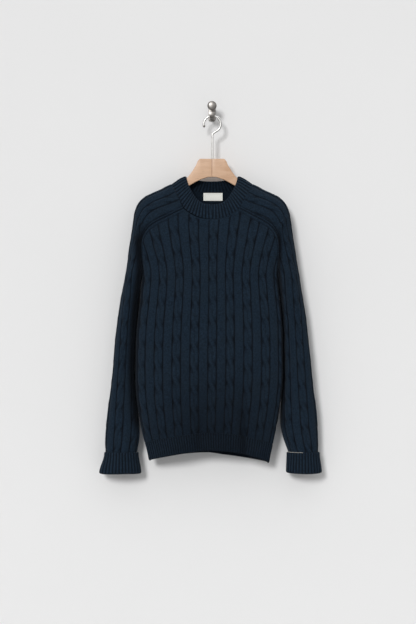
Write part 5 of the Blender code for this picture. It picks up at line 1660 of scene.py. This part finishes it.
class SWEATER_OT_wall_hook(bpy.types.Operator):
    """Makes the small wall hook"""
    bl_idname = "sweater.wall_hook"
    bl_label = "Wall hook"

    def execute(self, context):
        colour = tuple(context.scene.sweater_hanger.nickel_colour)
        nickel = found_material("aged_nickel_plate", metal_material, colour, 0.34, 0.35, (1.0, 0.3, 1.0))
        dress(make_plate(), nickel, "aged_nickel", "wall_plate")
        dress(make_strap(), nickel, "aged_nickel", "wall_strap")
        dress(make_knob(), nickel, "aged_nickel", "wall_knob")
        return {"FINISHED"}


class SWEATER_OT_declare(bpy.types.Operator):
    """An empty step that leaves the scene as it is"""
    bl_idname = "sweater.declare"
    bl_label = "Cloth sizes"

    def execute(self, context):
        return {"FINISHED"}


# Stage, in metres: the wall and floor, the lights' directions and what the camera looks at.
STAGE_SIZE = 6.0
WALL_MIDDLE = (0.0, 0.0, 1.2)
FLOOR_MIDDLE = (0.0, -3.0, -1.8)
FLOOR_TONE = 0.6         # the floor's colour over the wall's
KEY_WAY = (0.30, 1.0, -0.34)
BACK_WAY = (-0.25, -1.0, -0.45)
SUN_WIDTH = 14.0         # degrees; it softens the shadows
SENSOR = 36.0            # millimetres
LOOKED_AT = (-0.010, -0.050, -0.515)


class SWEATER_OT_stage(bpy.types.Operator):
    """Sets the wall, the floor, the light and the camera"""
    bl_idname = "sweater.stage"
    bl_label = "Stage"

    def execute(self, context):
        stage = context.scene.sweater_stage
        paint = found_material("wall_paint", plaster_material, tuple(stage.wall_colour), True)
        floor_colour = [FLOOR_TONE * c for c in stage.wall_colour]
        boards = found_material("floor_paint", plaster_material, floor_colour, False)
        for name, place, turn, material in (("wall", WALL_MIDDLE, math.pi / 2, paint),
                                            ("floor", FLOOR_MIDDLE, 0.0, boards)):
            start_fresh()
            bpy.ops.mesh.primitive_plane_add(size=STAGE_SIZE, location=place, rotation=(turn, 0.0, 0.0))
            piece = settle(name)
            piece.data.materials.append(material)
        for name, strength, way in (("key_light", stage.key_strength, KEY_WAY),
                                    ("back_light", stage.back_strength, BACK_WAY)):
            sun = bpy.data.lights.new(name, "SUN")
            sun.energy = strength
            sun.angle = math.radians(SUN_WIDTH)
            lamp = bpy.data.objects.new(name, sun)
            lamp.rotation_euler = Vector(way).to_track_quat("-Z", "Y").to_euler()
            context.scene.collection.objects.link(lamp)
        context.scene.world = soft_room(stage.fill_strength, stage.floor_share)
        context.scene.view_settings.view_transform = "Standard"
        camera = bpy.data.cameras.new("camera")
        camera.sensor_fit = "VERTICAL"
        camera.sensor_height = SENSOR
        camera.lens = SENSOR * stage.camera_distance / stage.view_height
        camera.clip_end = 50.0
        viewer = bpy.data.objects.new("camera", camera)
        viewer.location = Vector(LOOKED_AT) - Vector((0.0, stage.camera_distance, 0.0))
        viewer.rotation_euler = (math.pi / 2, 0.0, 0.0)
        context.scene.collection.objects.link(viewer)
        context.scene.camera = viewer
        return {"FINISHED"}


class SWEATER_PT_panel(bpy.types.Panel):
    """Lists the settings and the steps that make the sweater"""
    bl_label = "Cable-knit sweater"
    bl_idname = "SWEATER_PT_panel"
    bl_space_type = "VIEW_3D"
    bl_region_type = "UI"
    bl_category = "Sweater"

    def draw(self, context):
        layout = self.layout
        for group in (context.scene.sweater_knit, context.scene.sweater_hanger, context.scene.sweater_stage):
            box = layout.box()
            for name in group.__annotations__:
                box.prop(group, name)
        for step in STEPS:
            layout.operator(step.bl_idname)


STEPS = (SWEATER_OT_panels, SWEATER_OT_sleeves, SWEATER_OT_bands, SWEATER_OT_trims, SWEATER_OT_hanger,
         SWEATER_OT_wall_hook, SWEATER_OT_declare, SWEATER_OT_stage)
GROUPS = (("sweater_knit", SweaterKnit), ("sweater_hanger", SweaterHanger), ("sweater_stage", SweaterStage))


def register():
    for name, group in GROUPS:
        bpy.utils.register_class(group)
        setattr(bpy.types.Scene, name, bpy.props.PointerProperty(type=group))
    for cls in (*STEPS, SWEATER_PT_panel):
        bpy.utils.register_class(cls)


def unregister():
    for cls in reversed((*STEPS, SWEATER_PT_panel)):
        bpy.utils.unregister_class(cls)
    for name, group in reversed(GROUPS):
        delattr(bpy.types.Scene, name)
        bpy.utils.unregister_class(group)


def main():
    register()
    bpy.ops.sweater.panels()
    bpy.ops.sweater.sleeves()
    bpy.ops.sweater.bands()
    bpy.ops.sweater.trims()
    bpy.ops.sweater.hanger()
    bpy.ops.sweater.wall_hook()
    bpy.ops.sweater.declare()
    bpy.ops.sweater.stage()


if __name__ == "__main__":
    main()
